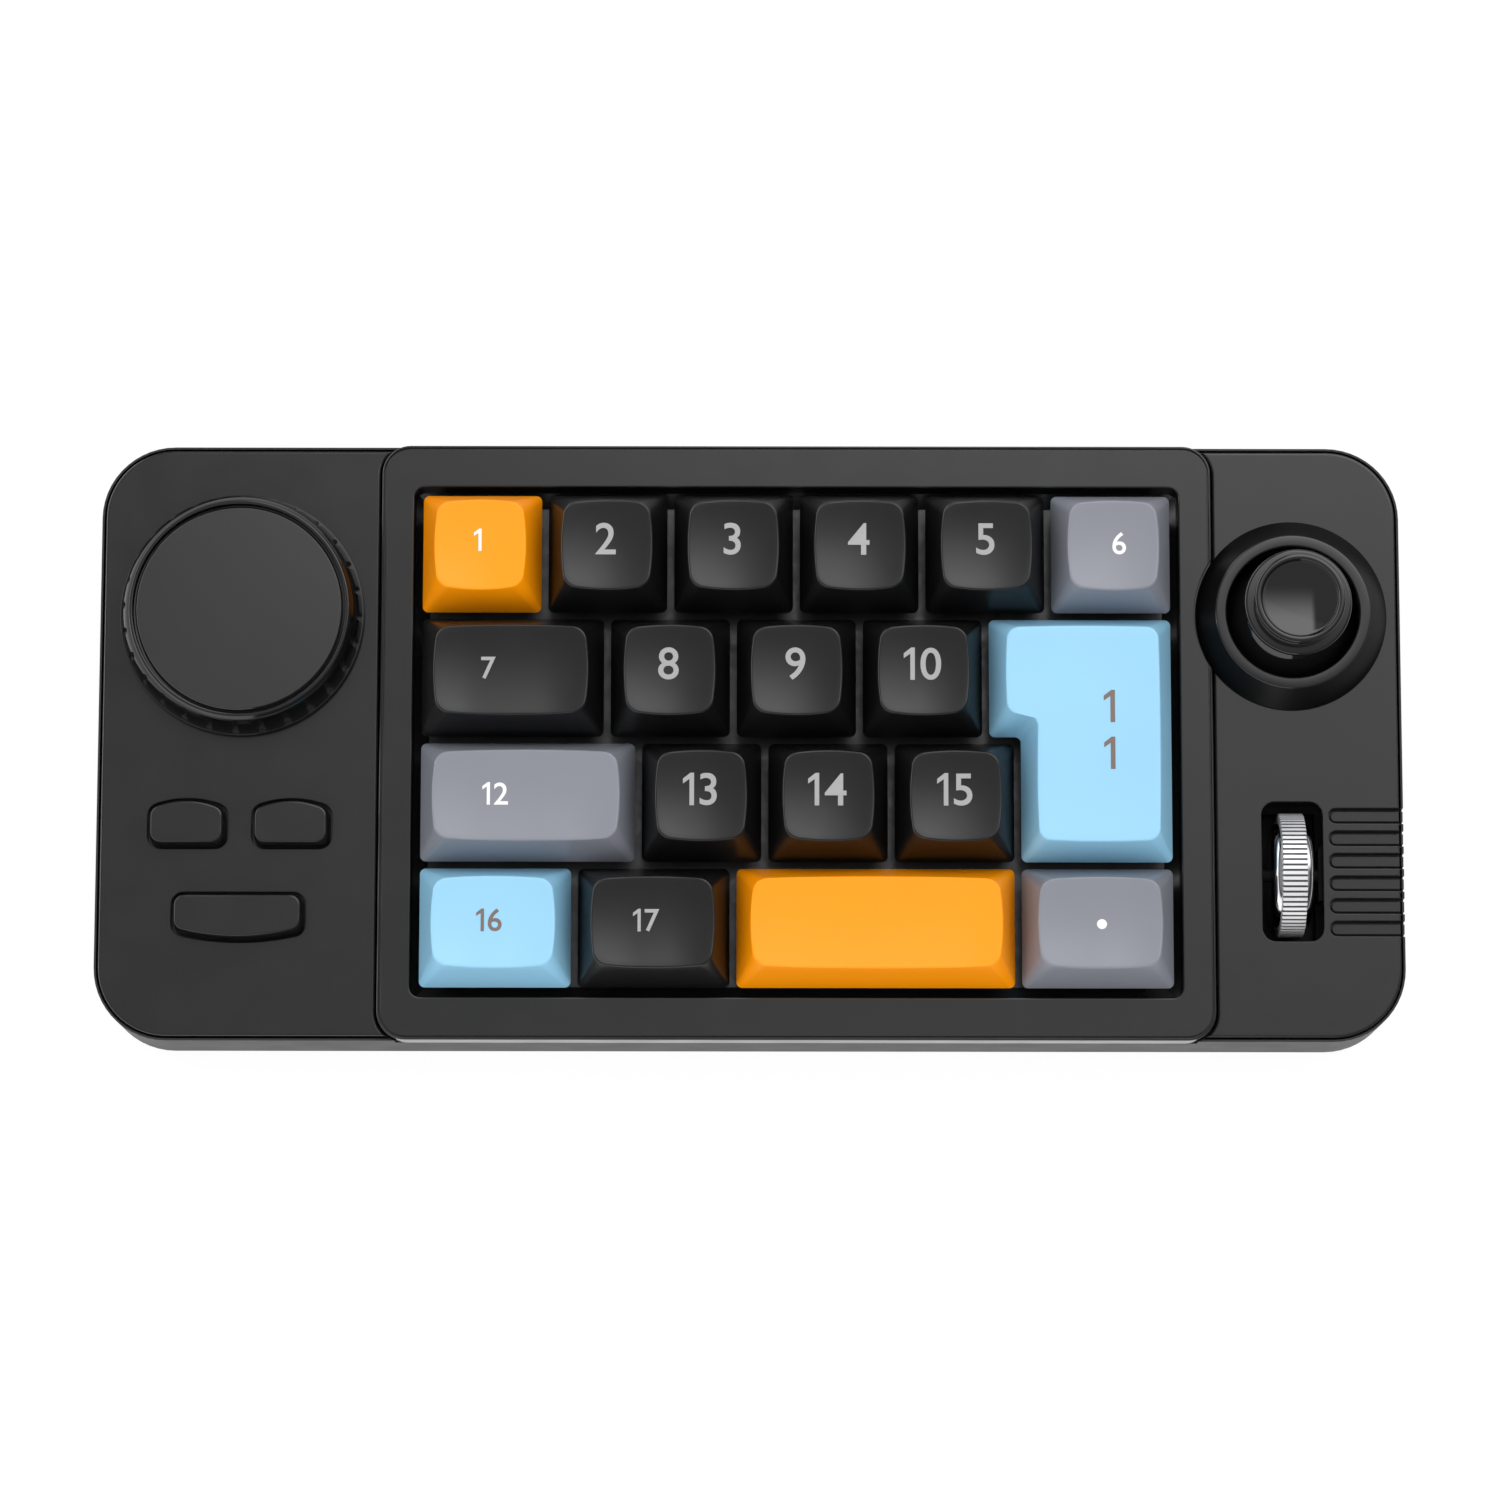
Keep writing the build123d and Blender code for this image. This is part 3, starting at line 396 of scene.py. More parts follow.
def cap_mesh(width, depth, tall):
    """Points and faces of one cap about its own centre, with its rim at height 0."""
    top_corner = TALL_TOP_CORNER if tall else CAP_TOP_CORNER
    base = rounded_outline(cap_corners(width, depth, 0, tall), CAP_BASE_CORNER)
    top_bow = TALL_BOW if tall else CAP_BOW
    top = rounded_outline(cap_corners(width, depth, CAP_INSET, tall), top_corner, top_bow)
    count = len(base)
    low = CAP_HEIGHT - CAP_DISH

    def wall(index, height):
        flat = base[index].lerp(top[index], height / CAP_HEIGHT)
        return Vector((flat.x, flat.y, height))

    def on_dish(flat):
        return Vector((flat.x, flat.y, low + dish_height(flat.x, flat.y, width, depth, tall)))

    edges = []
    for index in range(count):
        height = CAP_HEIGHT
        for _ in range(EDGE_PASSES):
            spot = wall(index, height)
            height = on_dish(spot).z
        edges.append(wall(index, height))
    rings = []
    for share in WALL_SHARES:
        rings.append([wall(i, share * edges[i].z) for i in range(count)])
    for step in range(EDGE_STEPS + 1):
        ring = []
        for index in range(count):
            edge = edges[index]
            start = wall(index, edge.z - CAP_EDGE_ROUND)
            end = on_dish(edge.xy - edge.xy.normalized() * CAP_EDGE_ROUND)
            ring.append(bent_point(start, edge, end, step / EDGE_STEPS))
        rings.append(ring)
    rim = rings[-1]
    for share in TOP_SHARES:
        rings.append([on_dish(rim[i].xy * share) for i in range(count)])
    inner_top = rounded_outline(cap_corners(width, depth, CAP_INSET + CAP_WALL, tall), CAP_BASE_CORNER)
    inner_base = rounded_outline(cap_corners(width, depth, CAP_WALL, tall), CAP_BASE_CORNER / 2)
    roof = low - CAP_ROOF
    inside = [
        [Vector((p.x * HEART_SHARE, p.y * HEART_SHARE, roof)) for p in inner_top],
        [Vector((p.x, p.y, roof)) for p in inner_top],
        [Vector((p.x, p.y, 0.0)) for p in inner_base],
    ]
    rings = inside + rings
    points = [p for ring in rings for p in ring]
    faces = ring_faces(len(rings), count)
    last = (len(rings) - 1) * count
    faces.append(tuple(last + i for i in range(count)))
    faces.append(tuple(reversed(range(count))))
    return points, faces


def box_mesh(low, high):
    """Points and faces of an upright block between two corners."""
    plan = ((low[0], low[1]), (high[0], low[1]), (high[0], high[1]), (low[0], high[1]))
    points = [Vector((x, y, z)) for z in (low[2], high[2]) for x, y in plan]
    return points, [(3, 2, 1, 0), (4, 5, 6, 7)] + ring_faces(2, 4)


rim_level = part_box("centre_frame")[1].z / MM
slider_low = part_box("key_01")[0].z / MM - rim_level


def make_cap(node):
    """Cap of one key with the switch slider under it; gives the cap's centre, width and depth."""
    low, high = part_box(node)
    tall = node == TALL_KEY
    width = (high.x - low.x) / MM - (TALL_STEP if tall else 0)
    depth = (high.y - low.y) / MM
    centre = Vector((high.x / MM - width / 2, (low.y + high.y) / 2 / MM, rim_level))
    points, faces = cap_mesh(width, depth, tall)
    slider_points, slider_faces = box_mesh(
        (-SLIDER_HALF_WIDTH, -SLIDER_HALF_DEPTH, slider_low),
        (SLIDER_HALF_WIDTH, SLIDER_HALF_DEPTH, SLIDER_OVERLAP),
    )
    faces = faces + [tuple(len(points) + i for i in face) for face in slider_faces]
    points = [p + centre for p in points + slider_points]
    slot = slot_of[node]
    piece = make_piece(f"{node}_cap", points, faces, key_looks[slot], node, sharp=40)
    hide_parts(node)
    return centre, width, depth


caps = {node: make_cap(node) for node in slot_of if slot_of[node].startswith("key_")}


# Legends
ONE_OUTLINE = (
    (0.20, 0.0),
    (0.34, 0.0),
    (0.34, 1.0),
    (0.23, 1.0),
    (0.0, 0.82),
    (0.0, 0.67),
    (0.20, 0.81),
)


def one_mesh(height):
    """Flat mesh of the digit 1, with a slanting flag, from its lower left corner."""
    count = len(ONE_OUTLINE)
    levels = (-LEGEND_THICKNESS, LEGEND_THICKNESS)
    points = [Vector((x * height, y * height, z)) for z in levels for x, y in ONE_OUTLINE]
    faces = [tuple(reversed(range(count))), tuple(range(count, 2 * count))]
    return points, faces + ring_faces(2, count)


def digit_mesh(digit, height):
    """Flat mesh of one plain digit, from its lower left corner, in millimetres."""
    if digit == "1":
        return one_mesh(height)
    curve = bpy.data.curves.new("number", "FONT")
    curve.body = digit
    curve.size = height / DIGIT_OF_FONT
    curve.resolution_u = DIGIT_STEPS
    curve.extrude = LEGEND_THICKNESS
    curve.offset = DIGIT_SWELL * height
    carrier = bpy.data.objects.new("number", curve)
    bpy.context.scene.collection.objects.link(carrier)
    bpy.context.view_layer.update()
    shown = carrier.evaluated_get(bpy.context.evaluated_depsgraph_get())
    shaped = bpy.data.meshes.new_from_object(shown)
    bpy.data.objects.remove(carrier)
    bpy.data.curves.remove(curve)
    corner = Vector((min(v.co.x for v in shaped.vertices), min(v.co.y for v in shaped.vertices), 0))
    points = [v.co - corner for v in shaped.vertices]
    faces = [tuple(p.vertices) for p in shaped.polygons]
    bpy.data.meshes.remove(shaped)
    return points, faces


def number_mesh(text, height, stacked):
    """Flat mesh of a plain number, centred on its own middle; stacked digits run from back to front."""
    points = []
    faces = []
    start = Vector((0.0, 0.0, 0.0))
    for digit in text:
        spots, sides = digit_mesh(digit, height)
        faces += [tuple(len(points) + i for i in side) for side in sides]
        points += [p + start for p in spots]
        if stacked:
            start.y -= DIGIT_DROP * height
        else:
            start.x += max(p.x for p in spots) + DIGIT_SPACE * height
    middle_x = (min(p.x for p in points) + max(p.x for p in points)) / 2
    middle_y = (min(p.y for p in points) + max(p.y for p in points)) / 2
    return [p - Vector((middle_x, middle_y, 0)) for p in points], faces


def make_legend(node, text, height, shift, stacked=False):
    """Plain number laid on a cap's dish, shifted from the cap's centre."""
    centre, width, depth = caps[node]
    tall = node == TALL_KEY
    flat, faces = number_mesh(text, height, stacked)
    points = []
    for spot in flat:
        x, y = spot.x + shift[0], spot.y + shift[1]
        z = CAP_HEIGHT - CAP_DISH + dish_height(x, y, width, depth, tall) + LEGEND_LIFT + spot.z
        points.append(centre + Vector((x, y, z)))
    slot = slot_of[node]
    make_piece(f"{node}_number", points, faces, legend_looks[slot], node)


legends = {
    "key_01": ("1", LEGEND_SMALL, (-0.4, 0.8)),
    "key_06": ("6", LEGEND_SMALL, (0.9, 0.4)),
    "key_07": ("7", LEGEND_SMALL, (-3.4, 0.3)),
    "key_12": ("12", LEGEND_SMALL, (-4.6, 0.3)),
    "key_16": ("16", LEGEND_SMALL, (-0.6, 0.3)),
    "key_17": ("17", LEGEND_SMALL, (-1.0, 0.3)),
}
for number in (2, 3, 4, 5, 8, 9, 10, 13, 14, 15):
    legends[f"key_{number:02d}"] = (str(number), LEGEND_LARGE, (-0.2, 1.0))
for node, (text, height, shift) in legends.items():
    make_legend(node, text, height, shift)
make_legend(TALL_KEY, "11", LEGEND_LARGE, (1.6, 0.6), stacked=True)


def make_dot(node, radius, shift):
    """Round inlaid dot on a cap."""
    centre, width, depth = caps[node]
    points = []
    for reach in (0.0, 1.0):
        for index in range(DOT_STEPS):
            angle = 2 * pi * index / DOT_STEPS
            x = shift[0] + radius * reach * cos(angle)
            y = shift[1] + radius * reach * sin(angle)
            z = CAP_HEIGHT - CAP_DISH + dish_height(x, y, width, depth, False) + LEGEND_LIFT
            points.append(centre + Vector((x, y, z + LEGEND_THICKNESS)))
    slot = slot_of[node]
    make_piece(f"{node}_mark", points, ring_faces(2, DOT_STEPS), legend_looks[slot], node)


make_dot("key_dot", DOT_RADIUS, (0.2, -0.2))


# Turned pieces take their places from the CAD nodes
def node_span(node):
    """Lowest and highest corner of a node, in millimetres."""
    low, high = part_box(node)
    return low / MM, high / MM


def axis_spot(node):
    """Point on a round node's upright axis, at height 0."""
    low, high = node_span(node)
    return ((low.x + high.x) / 2, (low.y + high.y) / 2, 0.0)


def half_width(node):
    """Radius of a round node, from its depth."""
    low, high = node_span(node)
    return (high.y - low.y) / 2


def arc_profile(radius, first, last, middle, steps=16):
    """Part of a circle about a point on the axis, by angle from the axis."""
    angles = [radians(first + (last - first) * k / steps) for k in range(steps + 1)]
    return [(radius * sin(a), middle + radius * cos(a)) for a in angles]


# Dial
DIAL_NOTCHES = 28
NOTCH_RADIUS = 0.5
NOTCH_DEPTH = 1.0
NOTCH_TURN = -2.25
DIAL_BASE = 0.4
DIAL_BASE_GAP = 0.6
DIAL_WALL_INSET = 0.3
DIAL_WALL = 1.5
DIAL_RIM_RADIUS = 16.5
DIAL_GROOVE = 0.4
DIAL_BEVEL = 0.3
DIAL_ROUND = 0.1
DIAL_LIP_ROUND = 0.15
SHOULDER_BEND_IN = 0.4
SHOULDER_BEND_DOWN = 1.1
DIAL_WALL_STEPS = 24
DIAL_STEPS = 1120
WALL_SHADE_START = 0.12
PAINT_MARGIN = 0.1
dial_low = node_span("dial")[0].z
dial_high = node_span("dial")[1].z
dial_radius = half_width("dial")
disc_radius = half_width("dial_cap")
disc_low = node_span("dial_cap")[0].z
wall_radius = dial_radius - DIAL_WALL_INSET
rim_inner = disc_radius + DIAL_GROOVE


def notched(radius, height, angle):
    """Radius of the dial's wall, cut by an upright round notch every few degrees."""
    if height < dial_low + DIAL_BASE_GAP or radius < rim_inner:
        return radius
    step = 2 * pi / DIAL_NOTCHES
    middle = wall_radius - NOTCH_DEPTH + NOTCH_RADIUS
    aside = middle * ((angle - radians(NOTCH_TURN) + step / 2) % step - step / 2)
    if abs(aside) >= NOTCH_RADIUS:
        return radius
    cut = middle - sqrt(NOTCH_RADIUS**2 - aside**2)
    return min(radius, cut)


dial_profile = rounded_profile(
    [
        (0.0, dial_low, 0),
        (dial_radius, dial_low, DIAL_ROUND),
        (dial_radius, dial_low + DIAL_BASE, DIAL_LIP_ROUND),
        (wall_radius - DIAL_WALL_INSET, dial_low + DIAL_BASE, DIAL_ROUND),
        (wall_radius - DIAL_WALL_INSET, dial_low + DIAL_BASE_GAP, 0),
        (wall_radius, dial_low + DIAL_BASE_GAP, DIAL_ROUND),
        (wall_radius, dial_low + DIAL_WALL, 0),
    ]
)
wall_top = Vector((wall_radius, dial_low + DIAL_WALL))
shoulder_bend = Vector((wall_radius - SHOULDER_BEND_IN, dial_high - SHOULDER_BEND_DOWN))
shoulder_top = Vector((DIAL_RIM_RADIUS + DIAL_ROUND, dial_high - DIAL_ROUND))
dial_profile += bent_line(wall_top, shoulder_bend, shoulder_top, DIAL_WALL_STEPS)[1:]
dial_profile += rounded_profile(
    [
        dial_profile[-1] + (0,),
        (DIAL_RIM_RADIUS, dial_high, DIAL_ROUND),
        (rim_inner, dial_high, DIAL_LIP_ROUND),
        (rim_inner, disc_low, DIAL_ROUND),
        (0.0, disc_low, 0),
    ]
)[1:]
dial_spot = axis_spot("dial")
dial_piece = lathe(
    "dial_ring", dial_profile, dial_spot, dial_look, "dial", DIAL_STEPS, notched
)
# The dial's outer wall gets the darker copy of its plastic: painted shade
paint_wall(
    dial_piece, dial_wall_shade_look, dial_spot, DIAL_RIM_RADIUS + WALL_SHADE_START, dial_radius + PAINT_MARGIN
)
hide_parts("dial")
disc_profile = rounded_profile(
    [
        (0.0, disc_low, 0),
        (disc_radius, disc_low, 0),
        (disc_radius, dial_high - DIAL_BEVEL, DIAL_ROUND),
        (disc_radius - DIAL_BEVEL, dial_high, DIAL_ROUND),
        (0.0, dial_high, 0),
    ]
)
disc_piece = lathe("dial_disc", disc_profile, dial_spot, disc_look, "dial")
paint_wall(disc_piece, dial_look, dial_spot, disc_radius - DIAL_BEVEL, disc_radius + PAINT_MARGIN)
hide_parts("dial_cap")

# Thumb stick and its bezel
BEZEL_RING_OUTER = 11.65
BEZEL_RING_INNER = 10.05
BEZEL_FOOT = 0.35
BEZEL_RING_FALL = 0.035
BEZEL_FOOT_ROUND = 0.1
BEZEL_OUTER_ROUND = 0.15
BEZEL_INNER_ROUND = 0.25
STICK_PIVOT = 12.6
DOME_RADIUS = 10.6
DOME_WALL = 1.0
DOME_ANGLE = 75.0
DOME_SKIRT_ANGLE = 63.5
SHOULDER_RADIUS = 8.45
SHOULDER_LEVEL = 19.05
CROWN_SWELL = 0.05
CROWN_STEPS = 16
SKIRT_STEPS = 6
POLE_ANGLE = 1
NECK_RADIUS = 4.6
NECK_ROUND = 0.5
FLANGE_RADIUS = 8.05
FLANGE_RISE = 17.0
FLANGE_THICKNESS = 1.2
FLANGE_ROUND = 0.45
STICK_WAIST = 6.3
STICK_WAIST_ROUND = 0.3
STICK_RIM = 6.85
STICK_RIM_ROUND = 0.5
STICK_RIM_INNER = 5.85
STICK_RIM_INNER_ROUND = 0.3
STICK_STEP = 0.5
STICK_STEP_ROUND = 0.1
STICK_DISH_RADIUS = 5.55
STICK_DISH = 0.6
DISH_POLE_ANGLE = 179.5
bezel_low = node_span("stick_bezel")[0].z
bezel_high = node_span("stick_bezel")[1].z
bezel_radius = half_width("stick_bezel")
bezel_profile = rounded_profile(
    [
        (BEZEL_RING_INNER, bezel_low, 0),
        (bezel_radius, bezel_low, 0),
        (bezel_radius, bezel_low + BEZEL_FOOT, BEZEL_FOOT_ROUND),
        (BEZEL_RING_OUTER, bezel_high - BEZEL_RING_FALL, BEZEL_OUTER_ROUND),
        (BEZEL_RING_INNER, bezel_high, BEZEL_INNER_ROUND),
        (BEZEL_RING_INNER, bezel_low, 0),
    ]
)
stick_spot = axis_spot("stick_bezel")
bezel_piece = lathe("stick_ring", bezel_profile, stick_spot, bezel_look, "case")
# The bezel's outer slope gets the darker, duller copy of its plastic: painted shade
paint_wall(
    bezel_piece, bezel_slope_shade_look, stick_spot, BEZEL_RING_OUTER + PAINT_MARGIN, bezel_radius + PAINT_MARGIN
)
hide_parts("stick_bezel")

stick_top = node_span("stick_cap")[1].z
inner_dome = arc_profile(DOME_RADIUS - DOME_WALL, POLE_ANGLE, DOME_ANGLE, STICK_PIVOT)
skirt = arc_profile(DOME_RADIUS, DOME_ANGLE, DOME_SKIRT_ANGLE, STICK_PIVOT, SKIRT_STEPS)
neck_level = STICK_PIVOT + sqrt(DOME_RADIUS**2 - NECK_RADIUS**2)
shoulder = Vector((SHOULDER_RADIUS, SHOULDER_LEVEL))
neck = Vector((NECK_RADIUS, neck_level))
crown_bend = (shoulder + neck) / 2 + Vector((CROWN_SWELL, CROWN_SWELL))
outer_dome = skirt + bent_line(shoulder, crown_bend, neck, CROWN_STEPS)
flange_top = STICK_PIVOT + FLANGE_RISE
upper_profile = rounded_profile(
    [
        (*outer_dome[-1], 0),
        (NECK_RADIUS, flange_top - FLANGE_THICKNESS, NECK_ROUND),
        (FLANGE_RADIUS, flange_top - FLANGE_THICKNESS, FLANGE_ROUND),
        (FLANGE_RADIUS, flange_top, FLANGE_ROUND),
        (STICK_WAIST, flange_top, STICK_WAIST_ROUND),
        (STICK_RIM, stick_top, STICK_RIM_ROUND),
        (STICK_RIM_INNER, stick_top, STICK_RIM_INNER_ROUND),
        (STICK_DISH_RADIUS + STICK_STEP_ROUND, stick_top - STICK_STEP, STICK_STEP_ROUND),
        (STICK_DISH_RADIUS, stick_top - STICK_STEP, 0),
    ]
)
dish_ball = (STICK_DISH_RADIUS**2 + STICK_DISH**2) / (2 * STICK_DISH)
dish_edge = degrees(asin(STICK_DISH_RADIUS / dish_ball))
dish_middle = stick_top - STICK_STEP - STICK_DISH + dish_ball
dish_profile = arc_profile(dish_ball, 180 - dish_edge, DISH_POLE_ANGLE, dish_middle)
stick_profile = inner_dome + outer_dome + upper_profile[1:] + dish_profile
stick_piece = lathe("stick_thumb", stick_profile, stick_spot, gloss_look, "stick")
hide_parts("stick_cap")

# Wheel
WHEEL_TEETH = 72
TOOTH_DEPTH = 0.32
TOOTH_TOP = 0.6
TOOTH_FLANK = 0.1
TOOTH_REACH = 0.3
WHEEL_STEPS = 1440
WHEEL_BAND = 0.5
WHEEL_CHAMFER = 0.12
CHEEK_DROP = 0.5
BEAD_STEPS = 10
wheel_low, wheel_high = node_span("wheel_rim")
wheel_spot = (wheel_low + wheel_high) / 2
wheel_radius = half_width("wheel_rim")
wheel_half = (wheel_high.x - wheel_low.x) / 2
chrome_low, chrome_high = node_span("wheel_flanges")
chrome_half = (chrome_high.x - chrome_low.x) / 2
chrome_radius = half_width("wheel_flanges")


def tooth_side(angle):
    """Distance from the middle of the nearest tooth, as a share of the pitch."""
    return abs((angle * WHEEL_TEETH / (2 * pi) + 0.5) % 1 - 0.5)


def toothed(radius, height, angle):
    """Radius of the wheel's band, with fine flat-topped teeth."""
    if radius < wheel_radius - TOOTH_REACH:
        return radius
    fall = (tooth_side(angle) - TOOTH_TOP / 2) / TOOTH_FLANK
    return radius - TOOTH_DEPTH * min(1.0, max(0.0, fall))


rim_profile = [
    (0.0, -wheel_half),
    (wheel_radius - WHEEL_BAND, -wheel_half),
    (wheel_radius - WHEEL_CHAMFER, -wheel_half),
    (wheel_radius, -wheel_half + WHEEL_CHAMFER),
    (wheel_radius, wheel_half - WHEEL_CHAMFER),
    (wheel_radius - WHEEL_CHAMFER, wheel_half),
    (wheel_radius - WHEEL_BAND, wheel_half),
    (0.0, wheel_half),
]
rim_piece = lathe(
    "wheel_band",
    rim_profile,
    wheel_spot,
    wheel_look,
    "wheel",
    WHEEL_STEPS,
    toothed,
    ACROSS,
    sharp=30,
)
# Faces in the gaps between the teeth get the dark copy: painted shade in the recesses
rim_piece.data.materials.append(knurl_gap_shade_look)
for face in rim_piece.data.polygons:
    angle = 2 * pi * (face.index % WHEEL_STEPS + 0.5) / WHEEL_STEPS
    if face.index < WHEEL_STEPS * (len(rim_profile) - 1) and tooth_side(angle) > TOOTH_TOP / 2:
        face.material_index = 1
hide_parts("wheel_rim")
bead = chrome_half - wheel_half
bead_turns = [pi / 2 * step / BEAD_STEPS for step in range(BEAD_STEPS + 1)]
bead_radius = chrome_radius - CHEEK_DROP
bead_profile = [(bead_radius - bead * (1 - cos(t)), wheel_half + bead * sin(t)) for t in bead_turns]
flange_profile = [(0.0, -chrome_half)] + [(r, -h) for r, h in reversed(bead_profile)]
cheek_inner = wheel_radius / 2
flange_profile += [(cheek_inner, -wheel_half), (cheek_inner, wheel_half)]
flange_profile += bead_profile + [(0.0, chrome_half)]
flange_piece = lathe(
    "wheel_cheeks", flange_profile, wheel_spot, chrome_look, "wheel", turn=ACROSS
)
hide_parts("wheel_flanges")

# Floor, in metres
FLOOR_HALF = 6.0
PAPER_SHADE = 0.8
FAINT_SHADE = 0.12
FLOOR_GLOW = 0.9
floor_plan = ((-1, -1), (1, -1), (1, 1), (-1, 1))
floor_mesh = bpy.data.meshes.new("floor")
floor_mesh.from_pydata([(x * FLOOR_HALF, y * FLOOR_HALF, 0) for x, y in floor_plan], [], [(0, 1, 2, 3)])
floor = bpy.data.objects.new("floor", floor_mesh)
bpy.context.scene.collection.objects.link(floor)


def light_path_mix(tree, plain, shown, output):
    """Joins two shaders: one for lighting, one for what the camera and reflections see."""
    path = tree.nodes.new("ShaderNodeLightPath")
    seen = path.outputs["Is Camera Ray"]
    for kind in ("Is Glossy Ray", "Is Transmission Ray"):
        either = tree.nodes.new("ShaderNodeMath")
        either.operation = "ADD"
        either.use_clamp = True
        tree.links.new(seen, either.inputs[0])
        tree.links.new(path.outputs[kind], either.inputs[1])
        seen = either.outputs[0]
    mix = tree.nodes.new("ShaderNodeMixShader")
    tree.links.new(seen, mix.inputs["Fac"])
    tree.links.new(plain, mix.inputs[1])
    tree.links.new(shown, mix.inputs[2])
    tree.links.new(mix.outputs[0], output.inputs["Surface"])


floor_look = bpy.data.materials.new("pale_floor")
floor_look.use_nodes = True
tree = floor_look.node_tree
tree.nodes.clear()
floor_output = tree.nodes.new("ShaderNodeOutputMaterial")
paper = tree.nodes.new("ShaderNodeBsdfDiffuse")
paper.inputs["Color"].default_value = (PAPER_SHADE, PAPER_SHADE, PAPER_SHADE, 1)
faint = tree.nodes.new("ShaderNodeBsdfDiffuse")
faint.inputs["Color"].default_value = (FAINT_SHADE, FAINT_SHADE, FAINT_SHADE, 1)
glow = tree.nodes.new("ShaderNodeEmission")
glow.inputs["Strength"].default_value = FLOOR_GLOW
both = tree.nodes.new("ShaderNodeAddShader")
tree.links.new(faint.outputs[0], both.inputs[0])
tree.links.new(glow.outputs[0], both.inputs[1])
light_path_mix(tree, paper.outputs[0], both.outputs[0], floor_output)
floor_mesh.materials.append(floor_look)

# Studio: an even light for the shading, and soft boxes of sky for what the gloss shows
EVEN_LOW = 0.55
EVEN_HIGH = 1.6
SKY_HORIZON = 0.2
SKY_SIDE = 4.0
SKY_FRONT = 2.0
SKY_ZENITH = 0.48
SKY_BOX = 3.1
UPWARD = (0.0, 0.0, 1.0)
RIGHTWARD = (1.0, 0.0, 0.0)
LEFTWARD = (-1.0, 0.0, 0.0)
BACKWARD = (0.0, 1.0, 0.0)
FORWARD = (0.0, -1.0, 0.0)
EVEN_EDGE = (UPWARD, 0.0, 1.0, EVEN_LOW, EVEN_HIGH)
HORIZON_EDGE = (UPWARD, 0.2, 0.5, SKY_HORIZON, 0.0)
ZENITH_EDGE = (UPWARD, 0.4, 0.95, 0.0, SKY_ZENITH)
BOX_EDGES = ((RIGHTWARD, -0.075, -0.015), (BACKWARD, 0.02, 0.45), (UPWARD, 0.2, 0.65))
SIDE_EDGES = ((LEFTWARD, 0.3, 0.6), (UPWARD, 0.4, 0.55, SKY_SIDE, 0.0), (BACKWARD, -0.3, 0.1))
FRONT_EDGES = ((LEFTWARD, -0.1, -0.05), (UPWARD, 0.45, 0.6, SKY_FRONT, 0.0), (FORWARD, 0.0, 0.3))
world = bpy.data.worlds.new("studio")
bpy.context.scene.world = world
world.use_nodes = True
world.cycles.sampling_method = "NONE"
sky = world.node_tree
facing = sky.nodes.new("ShaderNodeTexCoord")


def sky_edge(lean, start, end, low=0.0, high=1.0):
    """Soft edge across the sky: low before its start, high beyond its end."""
    slant = sky.nodes.new("ShaderNodeVectorMath")
    slant.operation = "DOT_PRODUCT"
    slant.inputs[1].default_value = lean
    sky.links.new(facing.outputs["Generated"], slant.inputs[0])
    edge = sky.nodes.new("ShaderNodeMapRange")
    edge.interpolation_type = "SMOOTHSTEP"
    edge.inputs["From Min"].default_value = start
    edge.inputs["From Max"].default_value = end
    edge.inputs["To Min"].default_value = low
    edge.inputs["To Max"].default_value = high
    sky.links.new(slant.outputs["Value"], edge.inputs["Value"])
    return edge.outputs["Result"]


def sky_math(operation, first, second):
    """Joins two values of the sky by one operation."""
    result = sky.nodes.new("ShaderNodeMath")
    result.operation = operation
    sky.links.new(first, result.inputs[0])
    sky.links.new(second, result.inputs[1])
    return result.outputs[0]


def sky_patch(edges):
    """Patch of sky that lies inside all of its soft edges."""
    patch = sky_edge(*edges[0])
    for edge in edges[1:]:
        patch = sky_math("MULTIPLY", patch, sky_edge(*edge))
    return patch


def sky_glow(strength):
    """White background light of a varying strength."""
    glow = sky.nodes.new("ShaderNodeBackground")
    glow.inputs["Color"].default_value = (1, 1, 1, 1)
    sky.links.new(strength, glow.inputs["Strength"])
    return glow.outputs[0]


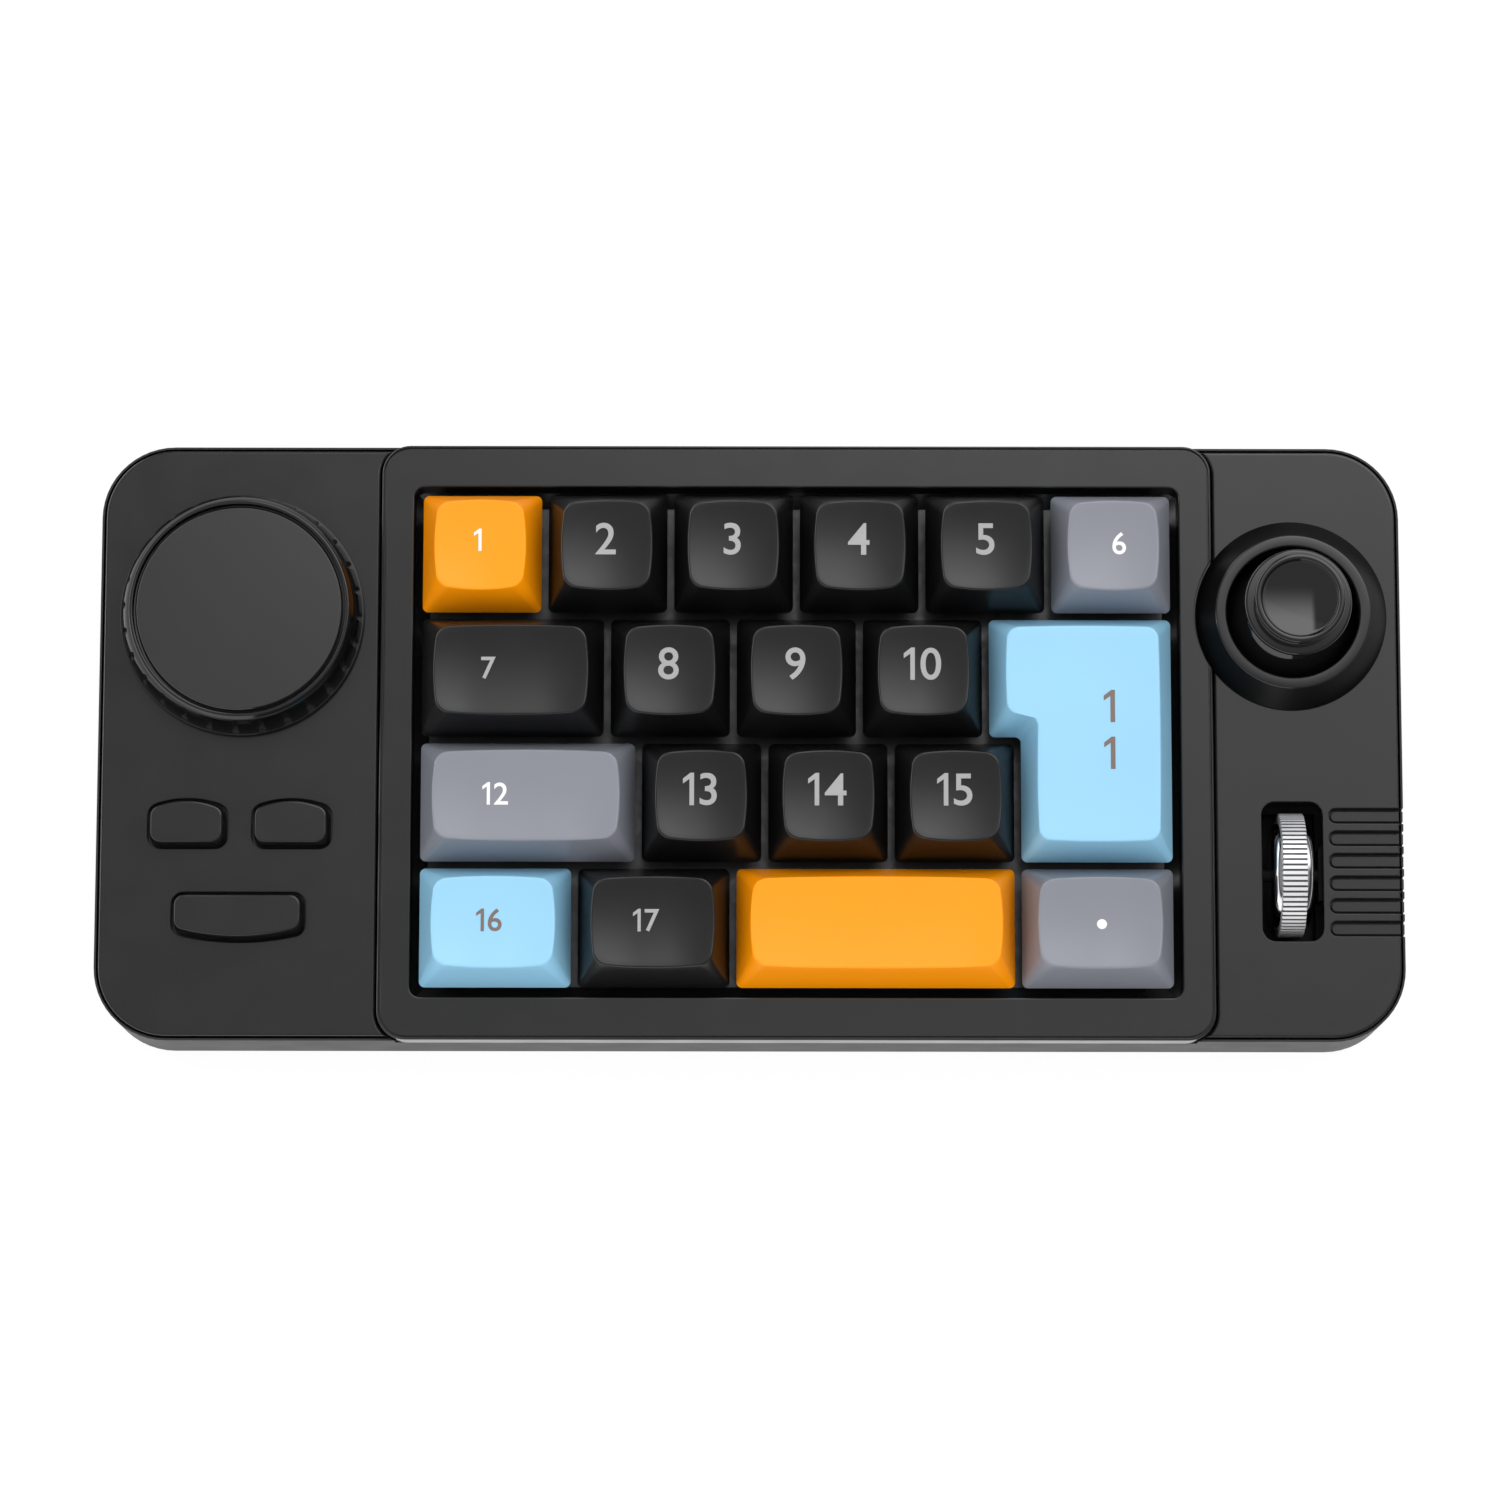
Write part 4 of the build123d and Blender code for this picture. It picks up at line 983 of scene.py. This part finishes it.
sky.nodes.remove(sky.nodes["Background"])
plain_sky = sky_math("ADD", sky_edge(*HORIZON_EDGE), sky_edge(*ZENITH_EDGE))
strips = sky_math("ADD", sky_patch(SIDE_EDGES), sky_patch(FRONT_EDGES))
around = sky_math("ADD", plain_sky, strips)
shown = sky.nodes.new("ShaderNodeMath")
shown.operation = "MULTIPLY_ADD"
shown.inputs[1].default_value = SKY_BOX
sky.links.new(sky_patch(BOX_EDGES), shown.inputs[0])
sky.links.new(around, shown.inputs[2])
even = sky_edge(*EVEN_EDGE)
light_path_mix(sky, sky_glow(even), sky_glow(shown.outputs[0]), sky.nodes["World Output"])

# Lamp behind the object, in metres and watts
LAMP_PLACE = Vector((0.25, 0.55, 0.75))
LAMP_AIM = Vector((0.02, 0.0, 0.02))
LAMP_WIDTH = 0.9
LAMP_HEIGHT = 0.5
LAMP_POWER = 0.3
lamp = bpy.data.lights.new("back_box", "AREA")
lamp.shape = "RECTANGLE"
lamp.size = LAMP_WIDTH
lamp.size_y = LAMP_HEIGHT
lamp.energy = LAMP_POWER
holder = bpy.data.objects.new("back_box", lamp)
holder.location = LAMP_PLACE
holder.rotation_euler = (LAMP_AIM - LAMP_PLACE).to_track_quat("-Z", "Y").to_euler()
bpy.context.scene.collection.objects.link(holder)

# Camera
tilt = radians(CAMERA_ELEVATION)
roll = radians(CAMERA_ROLL)
back = Vector((0.0, -cos(tilt), sin(tilt)))
level_right = Vector((1.0, 0.0, 0.0))
level_up = back.cross(level_right)
right = cos(roll) * level_right + sin(roll) * level_up
up = back.cross(right)
lens = bpy.data.cameras.new("photo_camera")
lens.sensor_width = SENSOR_WIDTH
lens.lens = SENSOR_WIDTH * FOCAL_PIXELS / PHOTO_SIDE
lens.clip_start = CLIP_START * MM
camera = bpy.data.objects.new("photo_camera", lens)
bpy.context.scene.collection.objects.link(camera)
eye = (Vector(CAMERA_TARGET) + back * CAMERA_DISTANCE) * MM
camera.matrix_world = Matrix.Translation(eye) @ Matrix((right, up, back)).transposed().to_4x4()
bpy.context.scene.camera = camera

bpy.context.scene.view_settings.view_transform = "Standard"
